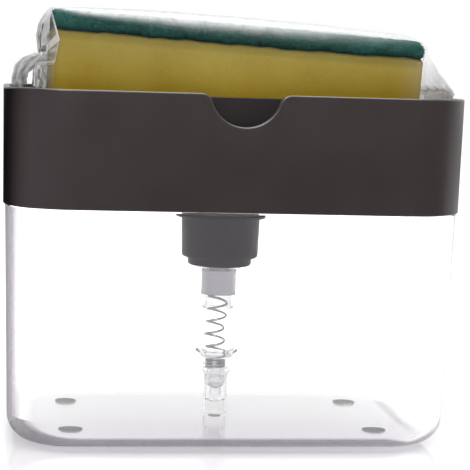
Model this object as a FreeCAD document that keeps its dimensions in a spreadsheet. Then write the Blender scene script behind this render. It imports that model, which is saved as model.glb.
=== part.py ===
import FreeCAD, Part
import math
import os
import re
import Sketcher

# Soap pump caddy: a clear tank, a frame with a lotion pump under it, and a tray that is pressed
# with a sponge to bring soap up through the pump. Millimetres, +Z up, the front is -Y, and the
# origin is on the table under the middle of the tank.

# Sizes that can be set by themselves
SIZES = {
    # Frame
    "frame_width": 135.0,
    "frame_depth": 92.0,
    "frame_corner": 20.0,
    "frame_draft": 0.45,
    "frame_wall": 1.9,
    "skirt_wall": 1.5,
    "rim_round": 0.6,
    "deck_thickness": 1.8,
    "notch_depth": 9.3,
    "notch_radius": 10.0,
    "notch_blend": 3.5,
    "well_bore": 23.0,
    "well_wall": 1.9,
    "well_drop": 9.3,
    "boss_wall": 3.0,
    "boss_room": 0.35,
    "boss_length": 8.3,
    # Tank
    "tank_height": 69.2,
    "tank_inset": 0.6,
    "tank_draft": 1.7,
    "tank_floor": 1.8,
    "tank_round": 8.0,
    "tank_inner_draft": 1.2,
    "tank_inner_round": 6.0,
    "neck_height": 4.8,
    "neck_wall": 1.6,
    "neck_gap": 0.3,
    "gate_diameter": 4.0,
    "gate_depth": 0.5,
    # Feet
    "foot_stand": 0.8,
    "foot_recess": 0.4,
    "foot_diameter": 7.2,
    "foot_edge": 0.5,
    "foot_from_end": 21.5,
    "foot_from_side": 24.5,
    # Tray
    "tray_gap": 0.7,
    "tray_drop": 1.0,
    "tray_depth": 9.5,
    "tray_wall": 1.6,
    "tray_floor": 2.0,
    "tray_round": 1.5,
    "tray_edge": 0.4,
    "bar_height": 1.0,
    "bar_width": 1.6,
    "bar_from_end": 11.55,
    "bar_from_side": 8.0,
    "web_height": 3.0,
    "web_thickness": 1.4,
    "web_from_end": 19.3,
    "web_from_side": 17.8,
    "outlet_rim_diameter": 12.0,
    "outlet_rim_height": 2.0,
    "outlet_diameter": 3.6,
    "outlet_mouth_diameter": 8.0,
    "hub_wall": 2.24,
    "hub_length": 7.5,
    "press_travel": 10.5,
    "stop_gap": 0.6,
    # Pump
    "collar_flange_reach": 1.8,
    "collar_flange": 0.9,
    "collar_wall": 1.8,
    "collar_taper": 0.3,
    "collar_bevel": 0.5,
    "collar_step_inset": 2.25,
    "collar_step": 2.5,
    "collar_ledge": 4.7,
    "thread_gap": 0.3,
    "gasket_thickness": 1.2,
    "barrel_diameter": 13.3,
    "barrel_wall": 1.1,
    "barrel_flange": 1.6,
    "shoulder_height": 1.8,
    "spring_well_room": 0.5,
    "spring_well_wall": 0.8,
    "spring_well_depth": 4.8,
    "seat_ledge": 0.6,
    "seat_lip": 0.3,
    "tail_taper": 1.4,
    "chamber_wall": 0.55,
    "ball_diameter": 4.4,
    "ball_room": 0.3,
    "ball_lift": 2.3,
    "valve_seat": 0.7,
    "valve_nipple": 4.1,
    "tail_clearance": 4.74,
    "tube_wall": 0.5,
    "tube_clearance": 0.8,
    "guide_length": 6.0,
    "guide_flange": 1.4,
    "stem_wall": 1.4,
    "stem_flange_diameter": 9.6,
    "stem_flange": 1.5,
    "stem_top_gap": 1.0,
    "piston_height": 7.5,
    "piston_slip": 1.5,
    "piston_lip": 1.0,
    "piston_waist": 0.5,
    "plug_room": 0.6,
    "plug_wall": 1.1,
    "plug_step": 0.85,
    "plug_neck_wall": 0.55,
    "plug_skirt": 4.4,
    "plug_bore_depth": 6.8,
    "plug_ceiling": 1.6,
    "plug_port_diameter": 1.4,
    "plug_port_room": 2.0,
    "plug_socket": 1.5,
    "plug_socket_wall": 0.84,
    "spring_wire": 0.7,
    "spring_turn_gap": 0.55,
    # Sponge in its film
    "sponge_end_room": 9.3,
    "sponge_side_room": 6.8,
    "sponge_corner": 2.5,
    "foam_thickness": 19.6,
    "scour_thickness": 5.4,
    "sponge_tilt": 3.2,
    "sponge_shift": 1.6,
    "film_gap": 0.3,
    "film_thickness": 0.3,
    "tail_end_room": 1.2,
    "tail_thickness": 2.0,
    "tail_left_width": 24.0,
    "tail_right_width": 48.0,
    # Clearances and the overrun of cuts
    "seat_gap": 0.1,
    "fit_gap": 0.06,
    "side_gap": 0.3,
    "overrun": 1.0,
}

# Counts of what repeats
TRAY_BAR_COUNT = 10
CROSS_WEB_COUNT = 5
LONG_WEB_COUNT = 3
SPRING_CLOSED_BELOW = 2
SPRING_OPEN_TURNS = 5.5
SPRING_CLOSED_ABOVE = 1
STEPS_PER_TURN = 4

# Heights and shared widths that follow from the sizes
LEVELS = {
    # Tank, frame and tray, from the table up
    "foot_top": "foot_stand + foot_recess",
    "tank_floor_top": "foot_stand + tank_floor",
    "shoulder": "foot_stand + tank_height",
    "neck_top": "shoulder + neck_height",
    "deck_under": "neck_top + neck_gap",
    "deck_top": "deck_under + deck_thickness",
    "web_under": "deck_top + stop_gap + press_travel",
    "tray_floor_under": "web_under + web_height",
    "tray_floor_top": "tray_floor_under + tray_floor",
    "bar_top": "tray_floor_top + bar_height",
    "tray_top": "tray_floor_top + tray_depth",
    "frame_top": "tray_top + tray_drop",
    "frame_height": "frame_top - shoulder",
    "hub_end": "tray_floor_under - hub_length",
    "well_under": "deck_under - well_drop",
    "well_floor": "well_under + deck_thickness",
    "boss_end": "well_under - boss_length",
    # Plan of the frame's, the tank's and the tray's walls
    "deck_draft": "frame_draft * (frame_top - deck_top) / frame_height",
    "skirt_draft": "frame_draft * (frame_top - deck_under) / frame_height",
    "tank_inset_all": "frame_draft + tank_inset",
    "neck_inset": "frame_draft + skirt_wall + neck_gap",
    "mouth_inset": "neck_inset + neck_wall",
    "foot_span_width": "frame_width - 2 * foot_from_end",
    "foot_span_depth": "frame_depth - 2 * foot_from_side",
    "tray_inset": "frame_wall + tray_gap",
    "tray_inner_inset": "tray_inset + tray_wall",
    "pan_width": "frame_width - 2 * tray_inner_inset",
    "pan_depth": "frame_depth - 2 * tray_inner_inset",
    "bar_pitch": f"(pan_width - 2 * bar_from_end) / {TRAY_BAR_COUNT - 1}",
    "web_pitch_width": f"(pan_width - 2 * web_from_end) / {CROSS_WEB_COUNT - 1}",
    "web_pitch_depth": f"(pan_depth - 2 * web_from_side) / {LONG_WEB_COUNT - 1}",
    # Round pieces of the pump, each fitted to the one outside it
    "barrel_bore": "barrel_diameter - 2 * barrel_wall",
    "boss_bore": "barrel_diameter + 2 * boss_room",
    "boss_diameter": "boss_bore + 2 * boss_wall",
    "well_diameter": "well_bore + 2 * well_wall",
    "collar_bore": "boss_diameter + 2 * thread_gap",
    "collar_diameter": "collar_bore + 2 * collar_wall",
    "collar_flange_diameter": "collar_diameter + 2 * collar_flange_reach",
    "collar_step_diameter": "collar_diameter - 2 * collar_step_inset",
    "plug_diameter": "barrel_bore - 2 * plug_room",
    "plug_bore": "plug_diameter - 2 * plug_wall",
    "plug_neck_diameter": "plug_diameter - 2 * plug_step",
    "stem_diameter": "plug_neck_diameter - 2 * (plug_socket_wall + fit_gap)",
    "stem_bore": "stem_diameter - 2 * stem_wall",
    "hub_diameter": "stem_diameter + 2 * (hub_wall + fit_gap)",
    "spring_diameter": "plug_neck_diameter - 2 * (plug_neck_wall + side_gap)",
    "spring_well_bore": "spring_diameter + 2 * spring_well_room",
    "spring_well_diameter": "spring_well_bore + 2 * spring_well_wall",
    "seat_lip_diameter": "ball_diameter - 2 * seat_lip",
    "valve_bore": "ball_diameter - 2 * valve_seat",
    "chamber_bore": "ball_diameter + 2 * ball_room",
    "tail_diameter": "chamber_bore + 2 * chamber_wall",
    "tube_diameter": "tail_diameter + 2 * fit_gap + 2 * tube_wall",
    # Pump, from the boss down
    "collar_top": "well_under - seat_gap",
    "collar_flange_under": "collar_top - collar_flange",
    "barrel_top": "boss_end - gasket_thickness",
    "barrel_flange_under": "barrel_top - barrel_flange",
    "collar_end": "barrel_flange_under - collar_ledge",
    "collar_step_top": "collar_end + collar_step",
    "guide_top": "barrel_top + guide_flange",
    "guide_end": "barrel_top - guide_length",
    "piston_top": "guide_end - piston_slip - side_gap",
    "piston_end": "piston_top - piston_height",
    "plug_end": "piston_end - plug_skirt",
    "plug_roof": "plug_end + plug_bore_depth",
    "plug_floor": "plug_roof + plug_ceiling",
    "stem_end": "plug_floor + plug_port_room",
    "plug_top": "stem_end + plug_socket",
    "stem_top": "tray_floor_under - stem_top_gap",
    "stem_flange_under": "hub_end - stem_flange",
    # Pump, from the tank's floor up
    "tube_end": "tank_floor_top + tube_clearance",
    "tail_end": "tank_floor_top + tail_clearance",
    "cone_end": "tail_end + valve_nipple",
    "cone_apex": "cone_end - valve_bore / 2",
    "cone_top": "cone_apex + chamber_bore / 2",
    "ball_rest": "cone_apex + sqrt(2) * (ball_diameter / 2 + seat_gap)",
    "ball_stop": "ball_rest + ball_lift + side_gap",
    "chamber_top": "ball_stop + sqrt((ball_diameter / 2) ^ 2 - (seat_lip_diameter / 2) ^ 2)",
    "tail_shoulder": "chamber_top - tail_taper",
    "spring_seat": "chamber_top + seat_ledge",
    "spring_well_top": "spring_seat + spring_well_depth",
    "bore_end": "spring_well_top + shoulder_height",
    "barrel_shoulder": "bore_end - barrel_wall",
    # Sponge: its tilted frame starts at the middle of the foam's underside
    "sponge_length": "pan_width - 2 * sponge_end_room",
    "sponge_width": "pan_depth - 2 * sponge_side_room",
    "film_inner_half": "sponge_length / 2 + film_gap",
    "film_half": "film_inner_half + film_thickness",
    "film_inner_top": "foam_thickness + scour_thickness + film_gap",
    "film_top": "film_inner_top + film_thickness",
    "film_under": "film_gap + film_thickness",
    "reach_left": "pan_width / 2 - tail_end_room - sponge_shift",
    "reach_right": "pan_width / 2 - tail_end_room + sponge_shift",
    "foam_rest": "bar_top + seat_gap + film_under * cos(sponge_tilt) + film_half * sin(sponge_tilt)",
    "tip_left": "(tray_top + side_gap - foam_rest - reach_left * sin(sponge_tilt)) / cos(sponge_tilt)",
    "tip_right": "(tray_top + side_gap - foam_rest + reach_right * sin(sponge_tilt)) / cos(sponge_tilt)",
}

doc = FreeCAD.newDocument("SoapPumpCaddy")


def make_sheet(name, rows):
    """A sheet with one named value on each row."""
    sheet = doc.addObject("Spreadsheet::Sheet", name)
    for row, (alias, content) in enumerate(rows.items(), start=1):
        sheet.set(f"A{row}", alias)
        sheet.set(f"B{row}", content)
        sheet.setAlias(f"B{row}", alias)
    doc.recompute()
    return sheet


def bound(words):
    """The expression for a formula written in plain names."""
    def qualify(match):
        word = match.group(0)
        if word in SIZES:
            return "Sizes." + word
        if word in LEVELS:
            return "Levels." + word
        return word
    return re.sub(r"[a-z_]+", qualify, words)


sizes_sheet = make_sheet("Sizes", {alias: str(number) for alias, number in SIZES.items()})
levels_sheet = make_sheet("Levels", {alias: "=" + words for alias, words in LEVELS.items()})
for level, formula in LEVELS.items():
    levels_sheet.set(levels_sheet.getCellFromAlias(level), "=" + bound(formula).replace("Levels.", ""))
doc.recompute()


def value(words):
    """The number that a formula has now."""
    return float(levels_sheet.evalExpression(bound(words)))


def new_body(label):
    """An empty body whose label names its file."""
    return doc.addObject("PartDesign::Body", label)


def new_sketch(body, name, role, offset="0"):
    """A sketch on one of the body's own planes, moved along that plane's normal."""
    sketch = body.newObject("Sketcher::SketchObject", name)
    plane = next(item for item in body.Origin.OriginFeatures if item.Role == role)
    sketch.AttachmentSupport = [(plane, "")]
    sketch.MapMode = "FlatFace"
    if offset != "0":
        sketch.setExpression("AttachmentOffset.Base.z", bound(offset))
    return sketch


def dimension(sketch, kind, first, second, words):
    """A distance between two sketch points that follows a formula."""
    index = sketch.addConstraint(Sketcher.Constraint(kind, *first, *second, value(words)))
    sketch.setExpression(f"Constraints[{index}]", bound(words))


def radius_of(sketch, curve, words, kind="Radius"):
    """A circle's or an arc's size that follows a formula."""
    index = sketch.addConstraint(Sketcher.Constraint(kind, curve, value(words)))
    sketch.setExpression(f"Constraints[{index}]", bound(words))


def draw_outline(sketch, points):
    """A closed outline of straight lines through points given as pairs of formulas."""
    places = [FreeCAD.Vector(value(across), value(along), 0) for across, along in points]
    lines = []
    for start, end in zip(places, places[1:] + places[:1]):
        lines.append(sketch.addGeometry(Part.LineSegment(start, end), False))
    for line, following in zip(lines, lines[1:] + lines[:1]):
        sketch.addConstraint(Sketcher.Constraint("Coincident", line, 2, following, 1))
    for line, (across, along) in zip(lines, points):
        for kind, axis, words in (("DistanceX", -2, across), ("DistanceY", -1, along)):
            if words == "0":
                sketch.addConstraint(Sketcher.Constraint("PointOnObject", line, 1, axis))
            else:
                dimension(sketch, kind, (-1, 1), (line, 1), words)


def draw_rounded(sketch, width, depth, corner):
    """A rectangle with round corners about the sketch's origin."""
    half_width = value(width) / 2
    half_depth = value(depth) / 2
    radius = value(corner)
    inner_x = half_width - radius
    inner_y = half_depth - radius
    point = FreeCAD.Vector
    sides = [
        (point(-inner_x, -half_depth), point(inner_x, -half_depth)),
        (point(half_width, -inner_y), point(half_width, inner_y)),
        (point(inner_x, half_depth), point(-inner_x, half_depth)),
        (point(-half_width, inner_y), point(-half_width, -inner_y)),
    ]
    centres = [
        point(inner_x, -inner_y),
        point(inner_x, inner_y),
        point(-inner_x, inner_y),
        point(-inner_x, -inner_y),
    ]
    lines = [sketch.addGeometry(Part.LineSegment(*side), False) for side in sides]
    arcs = []
    for quarter, centre in enumerate(centres):
        start = math.radians(90 * quarter - 90)
        circle = Part.Circle(centre, point(0, 0, 1), radius)
        arcs.append(sketch.addGeometry(Part.ArcOfCircle(circle, start, start + math.pi / 2), False))
    for quarter, line in enumerate(lines):
        sketch.addConstraint(Sketcher.Constraint("Tangent", line, 2, arcs[quarter], 1))
        sketch.addConstraint(Sketcher.Constraint("Tangent", arcs[quarter], 2, lines[(quarter + 1) % 4], 1))
        sketch.addConstraint(Sketcher.Constraint("Vertical" if quarter % 2 else "Horizontal", line))
    for arc in arcs[1:]:
        sketch.addConstraint(Sketcher.Constraint("Equal", arcs[0], arc))
    sketch.addConstraint(Sketcher.Constraint("Symmetric", arcs[0], 3, arcs[2], 3, -1, 1))
    dimension(sketch, "DistanceX", (lines[3], 1), (lines[1], 1), width)
    dimension(sketch, "DistanceY", (lines[0], 1), (lines[2], 1), depth)
    radius_of(sketch, arcs[0], corner)


def draw_circle(sketch, diameter, across="0", along="0"):
    """A circle at a place given by formulas."""
    centre = FreeCAD.Vector(value(across), value(along), 0)
    curve = sketch.addGeometry(Part.Circle(centre, FreeCAD.Vector(0, 0, 1), value(diameter) / 2), False)
    for kind, axis, words in (("DistanceX", -2, across), ("DistanceY", -1, along)):
        if words == "0":
            sketch.addConstraint(Sketcher.Constraint("PointOnObject", curve, 3, axis))
        else:
            dimension(sketch, kind, (-1, 1), (curve, 3), words)
    radius_of(sketch, curve, diameter, "Diameter")


def inset_sketch(body, name, level, inset):
    """The frame's plan at a level, drawn in by an inset all round."""
    sketch = new_sketch(body, name, "XY_Plane", level)
    draw_rounded(
        sketch,
        f"frame_width - 2 * ({inset})",
        f"frame_depth - 2 * ({inset})",
        f"frame_corner - ({inset})",
    )
    return sketch


def loft(body, name, sections, cuts=False):
    """A straight-sided loft through sketches, added to the body or cut out of it."""
    kind = "PartDesign::SubtractiveLoft" if cuts else "PartDesign::AdditiveLoft"
    feature = body.newObject(kind, name)
    feature.Profile = sections[0]
    feature.Sections = sections[1:]
    feature.Ruled = True
    doc.recompute()
    return feature


def pad(body, name, sketch, length, backward=False):
    """A pad from a sketch, up its normal unless it runs backward."""
    feature = body.newObject("PartDesign::Pad", name)
    feature.Profile = sketch
    feature.setExpression("Length", bound(length))
    feature.Reversed = backward
    doc.recompute()
    return feature


def pocket(body, name, sketch, length, forward=False):
    """A pocket from a sketch, against its normal unless it runs forward, that has to remove something."""
    before = body.Shape.Volume
    feature = body.newObject("PartDesign::Pocket", name)
    feature.Profile = sketch
    feature.setExpression("Length", bound(length))
    feature.Reversed = forward
    doc.recompute()
    if not body.Shape.Volume < before:
        raise RuntimeError(f"{name} removes nothing")
    return feature


def turn(body, name, points, cuts=False):
    """A turned form: an outline of radius and height, revolved about the upright axis."""
    before = body.Shape.Volume if cuts else 0
    sketch = new_sketch(body, name + "_profile", "XZ_Plane")
    draw_outline(sketch, points)
    feature = body.newObject("PartDesign::Groove" if cuts else "PartDesign::Revolution", name)
    feature.Profile = sketch
    feature.ReferenceAxis = (sketch, ["V_Axis"])
    feature.Angle = 360
    doc.recompute()
    if cuts and not body.Shape.Volume < before:
        raise RuntimeError(f"{name} removes nothing")
    return feature


def soften(body, name, radius, chosen):
    """A fillet on the edges of the body's last feature that a test chooses."""
    base = body.Tip
    edges = [f"Edge{index}" for index, edge in enumerate(base.Shape.Edges, start=1) if chosen(edge)]
    if not edges:
        raise RuntimeError(f"{name} finds no edges")
    feature = body.newObject("PartDesign::Fillet", name)
    feature.Base = (base, edges)
    feature.setExpression("Radius", bound(radius))
    doc.recompute()
    return feature


def lies_at(level):
    """A test for edges that lie flat at a level."""
    height = value(level)
    near = value("fit_gap") / 2

    def chosen(edge):
        return all(abs(vertex.Z - height) < near for vertex in edge.Vertexes)
    return chosen


def ring(outer, inner, bottom, top):
    """The outline of a plain ring."""
    return [(f"{outer} / 2", bottom), (f"{outer} / 2", top), (f"{inner} / 2", top), (f"{inner} / 2", bottom)]


# Tank: drafted walls, a rounded floor and a neck that goes up inside the frame's skirt
def make_tank():
    body = new_body("tank")
    foot_plan = inset_sketch(body, "tank_foot_plan", "foot_stand", "tank_inset_all + tank_draft")
    shoulder_plan = inset_sketch(body, "tank_shoulder_plan", "shoulder", "tank_inset_all")
    loft(body, "tank_wall_form", [foot_plan, shoulder_plan])
    neck_plan = inset_sketch(body, "tank_neck_plan", "shoulder", "neck_inset")
    pad(body, "tank_neck", neck_plan, "neck_top - shoulder")
    floor_plan = inset_sketch(body, "tank_floor_plan", "tank_floor_top", "mouth_inset + tank_inner_draft")
    mouth_plan = inset_sketch(body, "tank_mouth_plan", "neck_top", "mouth_inset")
    loft(body, "tank_hollow", [floor_plan, mouth_plan], cuts=True)
    soften(body, "tank_inner_floor_round", "tank_inner_round", lies_at("tank_floor_top"))
    soften(body, "tank_floor_round", "tank_round", lies_at("foot_stand"))
    recesses = new_sketch(body, "foot_recesses", "XY_Plane", "foot_stand")
    for side in ("", "-"):
        for end in ("", "-"):
            draw_circle(
                recesses,
                "foot_diameter + 2 * seat_gap",
                f"{side}foot_span_width / 2",
                f"{end}foot_span_depth / 2",
            )
    pocket(body, "foot_recess_cut", recesses, "foot_recess", forward=True)
    gate = new_sketch(body, "gate_mark", "XY_Plane", "foot_stand")
    draw_circle(gate, "gate_diameter")
    pocket(body, "gate_mark_cut", gate, "gate_depth", forward=True)
    return body


def make_foot(label, side, end):
    """A rubber foot stuck in its recess under the tank."""
    body = new_body(label)
    turn(body, label + "_form", [
        ("0", "0"),
        ("foot_diameter / 2 - foot_edge", "0"),
        ("foot_diameter / 2", "foot_edge"),
        ("foot_diameter / 2", "foot_top"),
        ("0", "foot_top"),
    ])
    body.setExpression("Placement.Base.x", bound(f"{side}foot_span_width / 2"))
    body.setExpression("Placement.Base.y", bound(f"{end}foot_span_depth / 2"))
    return body


def draw_notch(sketch):
    """The finger notch: a round bottom with a blend up to the rim at each end."""
    top = value("frame_top")
    main = value("notch_radius")
    blend = value("notch_blend")
    centre_height = top - value("notch_depth") + main
    half = math.sqrt((main + blend) ** 2 - (centre_height - top + blend) ** 2)
    lean = math.atan2(top - blend - centre_height, half)
    above = top + value("overrun")
    point = FreeCAD.Vector
    up = point(0, 0, 1)
    left_side = sketch.addGeometry(Part.LineSegment(point(-half, top), point(-half, above)), False)
    lid = sketch.addGeometry(Part.LineSegment(point(-half, above), point(half, above)), False)
    right_side = sketch.addGeometry(Part.LineSegment(point(half, above), point(half, top)), False)
    right_circle = Part.Circle(point(half, top - blend), up, blend)
    right = sketch.addGeometry(Part.ArcOfCircle(right_circle, math.pi / 2, math.pi + lean), False)
    main_circle = Part.Circle(point(0, centre_height), up, main)
    floor = sketch.addGeometry(Part.ArcOfCircle(main_circle, math.pi - lean, 2 * math.pi + lean), False)
    left_circle = Part.Circle(point(-half, top - blend), up, blend)
    left = sketch.addGeometry(Part.ArcOfCircle(left_circle, -lean, math.pi / 2), False)
    rule = Sketcher.Constraint
    sketch.addConstraint([
        rule("Coincident", left_side, 2, lid, 1),
        rule("Coincident", lid, 2, right_side, 1),
        rule("Coincident", right_side, 2, right, 1),
        rule("Coincident", left, 2, left_side, 1),
        rule("Tangent", right, 2, floor, 2),
        rule("Tangent", floor, 1, left, 1),
        rule("Vertical", left_side),
        rule("Vertical", right_side),
        rule("Horizontal", lid),
        rule("Vertical", right, 3, right, 1),
        rule("Vertical", left, 3, left, 2),
        rule("Equal", left, right),
        rule("PointOnObject", floor, 3, -2),
    ])
    radius_of(sketch, floor, "notch_radius")
    radius_of(sketch, right, "notch_blend")
    dimension(sketch, "DistanceY", (-1, 1), (floor, 3), "frame_top - notch_depth + notch_radius")
    dimension(sketch, "DistanceY", (-1, 1), (right, 1), "frame_top")
    dimension(sketch, "DistanceY", (-1, 1), (left, 2), "frame_top")
    dimension(sketch, "DistanceY", (-1, 1), (lid, 1), "frame_top + overrun")


def on_frame_outside(edge):
    """Whether an edge above the deck lies on the frame's outer face."""
    near = value("fit_gap") / 2
    for vertex in edge.Vertexes:
        if vertex.Z < value("deck_top"):
            return False
        inset = value("frame_draft") * (value("frame_top") - vertex.Z) / value("frame_height")
        corner = value("frame_corner") - inset
        over_x = abs(vertex.X) - (value("frame_width") / 2 - value("frame_corner"))
        over_y = abs(vertex.Y) - (value("frame_depth") / 2 - value("frame_corner"))
        outward = math.hypot(max(over_x, 0), max(over_y, 0)) + min(max(over_x, over_y), 0)
        if abs(outward - corner) > near:
            return False
    return True


# Frame: an open rim that the tray slides in, a deck, a skirt over the tank's neck and the pump's well
def make_frame():
    body = new_body("frame")
    foot_plan = inset_sketch(body, "frame_foot_plan", "shoulder", "frame_draft")
    rim_plan = inset_sketch(body, "frame_rim_plan", "frame_top", "0")
    loft(body, "frame_wall_form", [foot_plan, rim_plan])
    deck_plan = inset_sketch(body, "frame_deck_plan", "deck_top", "frame_wall + deck_draft")
    opening_plan = inset_sketch(body, "frame_opening_plan", "frame_top", "frame_wall")
    loft(body, "frame_hollow", [deck_plan, opening_plan], cuts=True)
    skirt_plan = inset_sketch(body, "frame_skirt_plan", "shoulder", "skirt_wall + frame_draft")
    roof_plan = inset_sketch(body, "frame_roof_plan", "deck_under", "skirt_wall + skirt_draft")
    loft(body, "frame_skirt_hollow", [skirt_plan, roof_plan], cuts=True)
    turn(body, "frame_well", [
        ("0", "boss_end"),
        ("boss_diameter / 2", "boss_end"),
        ("boss_diameter / 2", "well_under"),
        ("well_diameter / 2", "well_under"),
        ("well_diameter / 2", "deck_top"),
        ("0", "deck_top"),
    ])
    turn(body, "frame_well_bore", [
        ("0", "boss_end - overrun"),
        ("boss_bore / 2", "boss_end - overrun"),
        ("boss_bore / 2", "well_floor"),
        ("well_bore / 2", "well_floor"),
        ("well_bore / 2", "deck_top + overrun"),
        ("0", "deck_top + overrun"),
    ], cuts=True)
    notch = new_sketch(body, "frame_notch_profile", "XZ_Plane", "frame_depth / 2 + overrun")
    draw_notch(notch)
    pocket(body, "frame_notch", notch, "frame_wall + frame_draft + tray_gap + overrun")
    soften(body, "frame_rim_round", "rim_round", on_frame_outside)
    return body


# Tray: a shallow pan with bars under the sponge, an outlet in the middle and webs and a hub below
def make_tray():
    body = new_body("press_tray")
    plan = inset_sketch(body, "tray_plan", "tray_floor_under", "tray_inset")
    pad(body, "tray_form", plan, "tray_top - tray_floor_under")
    pan = inset_sketch(body, "tray_pan_plan", "tray_top", "tray_inner_inset")
    pocket(body, "tray_pan", pan, "tray_depth")
    soften(body, "tray_pan_round", "tray_round", lies_at("tray_floor_top"))
    soften(body, "tray_edge_round", "tray_edge", lies_at("tray_top"))

    def strips(name, level, length, size, pitch, count, axis, height, backward):
        """Parallel strips on a level, spread evenly about the middle."""
        sketch = new_sketch(body, name + "_plan", "XY_Plane", level)
        far = f"-({pitch} * {count - 1} + {size}) / 2"
        near = f"-({pitch} * {count - 1} - {size}) / 2"
        reach = f"({length}) / 2"
        corners = [(far, f"-{reach}"), (near, f"-{reach}"), (near, reach), (far, reach)]
        if axis == "V_Axis":
            corners = [(along, across) for across, along in corners]
        draw_outline(sketch, corners)
        first = pad(body, name, sketch, height, backward)
        pattern = body.newObject("PartDesign::LinearPattern", name + "_row")
        pattern.Originals = [first]
        pattern.Direction = (sketch, [axis])
        pattern.setExpression("Length", bound(f"{pitch} * {count - 1}"))
        pattern.Occurrences = count
        body.Tip = pattern
        doc.recompute()

    strips("tray_bars", "tray_floor_top", "pan_depth - 2 * bar_from_side", "bar_width", "bar_pitch",
           TRAY_BAR_COUNT, "H_Axis", "bar_height", False)
    strips("tray_cross_webs", "tray_floor_under", "pan_depth", "web_thickness", "web_pitch_width",
           CROSS_WEB_COUNT, "H_Axis", "web_height", True)
    strips("tray_long_webs", "tray_floor_under", "pan_width", "web_thickness", "web_pitch_depth",
           LONG_WEB_COUNT, "V_Axis", "web_height", True)
    turn(body, "tray_hub", [
        ("0", "hub_end"),
        ("hub_diameter / 2", "hub_end"),
        ("hub_diameter / 2", "tray_floor_top"),
        ("outlet_rim_diameter / 2", "tray_floor_top"),
        ("outlet_mouth_diameter / 2", "tray_floor_top + outlet_rim_height"),
        ("0", "tray_floor_top + outlet_rim_height"),
    ])
    turn(body, "tray_outlet", [
        ("0", "hub_end - overrun"),
        ("stem_diameter / 2 + fit_gap", "hub_end - overrun"),
        ("stem_diameter / 2 + fit_gap", "stem_top + fit_gap"),
        ("outlet_diameter / 2", "stem_top + fit_gap"),
        ("outlet_diameter / 2", "tray_floor_top + outlet_rim_height + overrun"),
        ("0", "tray_floor_top + outlet_rim_height + overrun"),
    ], cuts=True)
    return body


# Pump: collar, gasket, barrel with its valve seat, guide, tube, stem, plug and piston
def make_collar():
    body = new_body("pump_collar")
    low = "collar_diameter / 2 - collar_taper"
    turn(body, "collar_form", [
        ("collar_bore / 2", "collar_top"),
        ("collar_bore / 2", "barrel_flange_under"),
        ("barrel_diameter / 2 + side_gap", "barrel_flange_under"),
        ("barrel_diameter / 2 + side_gap", "collar_end"),
        ("collar_step_diameter / 2 - collar_bevel", "collar_end"),
        ("collar_step_diameter / 2", "collar_end + collar_bevel"),
        ("collar_step_diameter / 2", "collar_step_top"),
        (f"{low} - collar_bevel", "collar_step_top"),
        (low, "collar_step_top + collar_bevel"),
        ("collar_diameter / 2", "collar_flange_under"),
        ("collar_flange_diameter / 2", "collar_flange_under"),
        ("collar_flange_diameter / 2", "collar_top"),
    ])
    return body


def make_gasket():
    body = new_body("collar_gasket")
    outline = ring("(boss_diameter - 2 * fit_gap)", "boss_bore", "barrel_top", "boss_end")
    turn(body, "gasket_form", outline)
    return body


def make_barrel():
    body = new_body("pump_barrel")
    turn(body, "barrel_form", [
        ("barrel_bore / 2", "barrel_top"),
        ("barrel_bore / 2", "bore_end"),
        ("spring_well_bore / 2", "spring_well_top"),
        ("spring_well_bore / 2", "spring_seat"),
        ("seat_lip_diameter / 2", "spring_seat"),
        ("seat_lip_diameter / 2", "chamber_top"),
        ("chamber_bore / 2", "chamber_top"),
        ("chamber_bore / 2", "cone_top"),
        ("valve_bore / 2", "cone_end"),
        ("valve_bore / 2", "tail_end"),
        ("tail_diameter / 2", "tail_end"),
        ("tail_diameter / 2", "tail_shoulder"),
        ("tube_diameter / 2", "tail_shoulder"),
        ("spring_well_diameter / 2", "chamber_top"),
        ("spring_well_diameter / 2", "barrel_shoulder - shoulder_height"),
        ("barrel_diameter / 2", "barrel_shoulder"),
        ("barrel_diameter / 2", "barrel_flange_under"),
        ("collar_bore / 2 - side_gap", "barrel_flange_under"),
        ("collar_bore / 2 - side_gap", "barrel_top"),
    ])
    return body


def make_guide():
    body = new_body("stem_guide")
    turn(body, "guide_form", [
        ("stem_diameter / 2 + fit_gap", "guide_end"),
        ("barrel_bore / 2 - fit_gap", "guide_end"),
        ("barrel_bore / 2 - fit_gap", "barrel_top"),
        ("boss_bore / 2 - side_gap", "barrel_top"),
        ("boss_bore / 2 - side_gap", "guide_top"),
        ("stem_diameter / 2 + fit_gap", "guide_top"),
    ])
    return body


def make_tube():
    body = new_body("dip_tube")
    bore = "(tube_diameter - 2 * tube_wall)"
    turn(body, "tube_form", ring("tube_diameter", bore, "tube_end", "tail_shoulder"))
    return body


def make_ball():
    ball = doc.addObject("Part::Sphere", "inlet_ball")
    ball.setExpression("Radius", bound("ball_diameter / 2"))
    ball.setExpression("Placement.Base.z", bound("ball_rest"))
    return ball


def make_stem():
    body = new_body("pump_stem")
    turn(body, "stem_form", [
        ("stem_bore / 2", "stem_end"),
        ("stem_diameter / 2", "stem_end"),
        ("stem_diameter / 2", "stem_flange_under"),
        ("stem_flange_diameter / 2", "stem_flange_under"),
        ("stem_flange_diameter / 2", "hub_end"),
        ("stem_diameter / 2", "hub_end"),
        ("stem_diameter / 2", "stem_top"),
        ("stem_bore / 2", "stem_top"),
    ])
    return body


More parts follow.
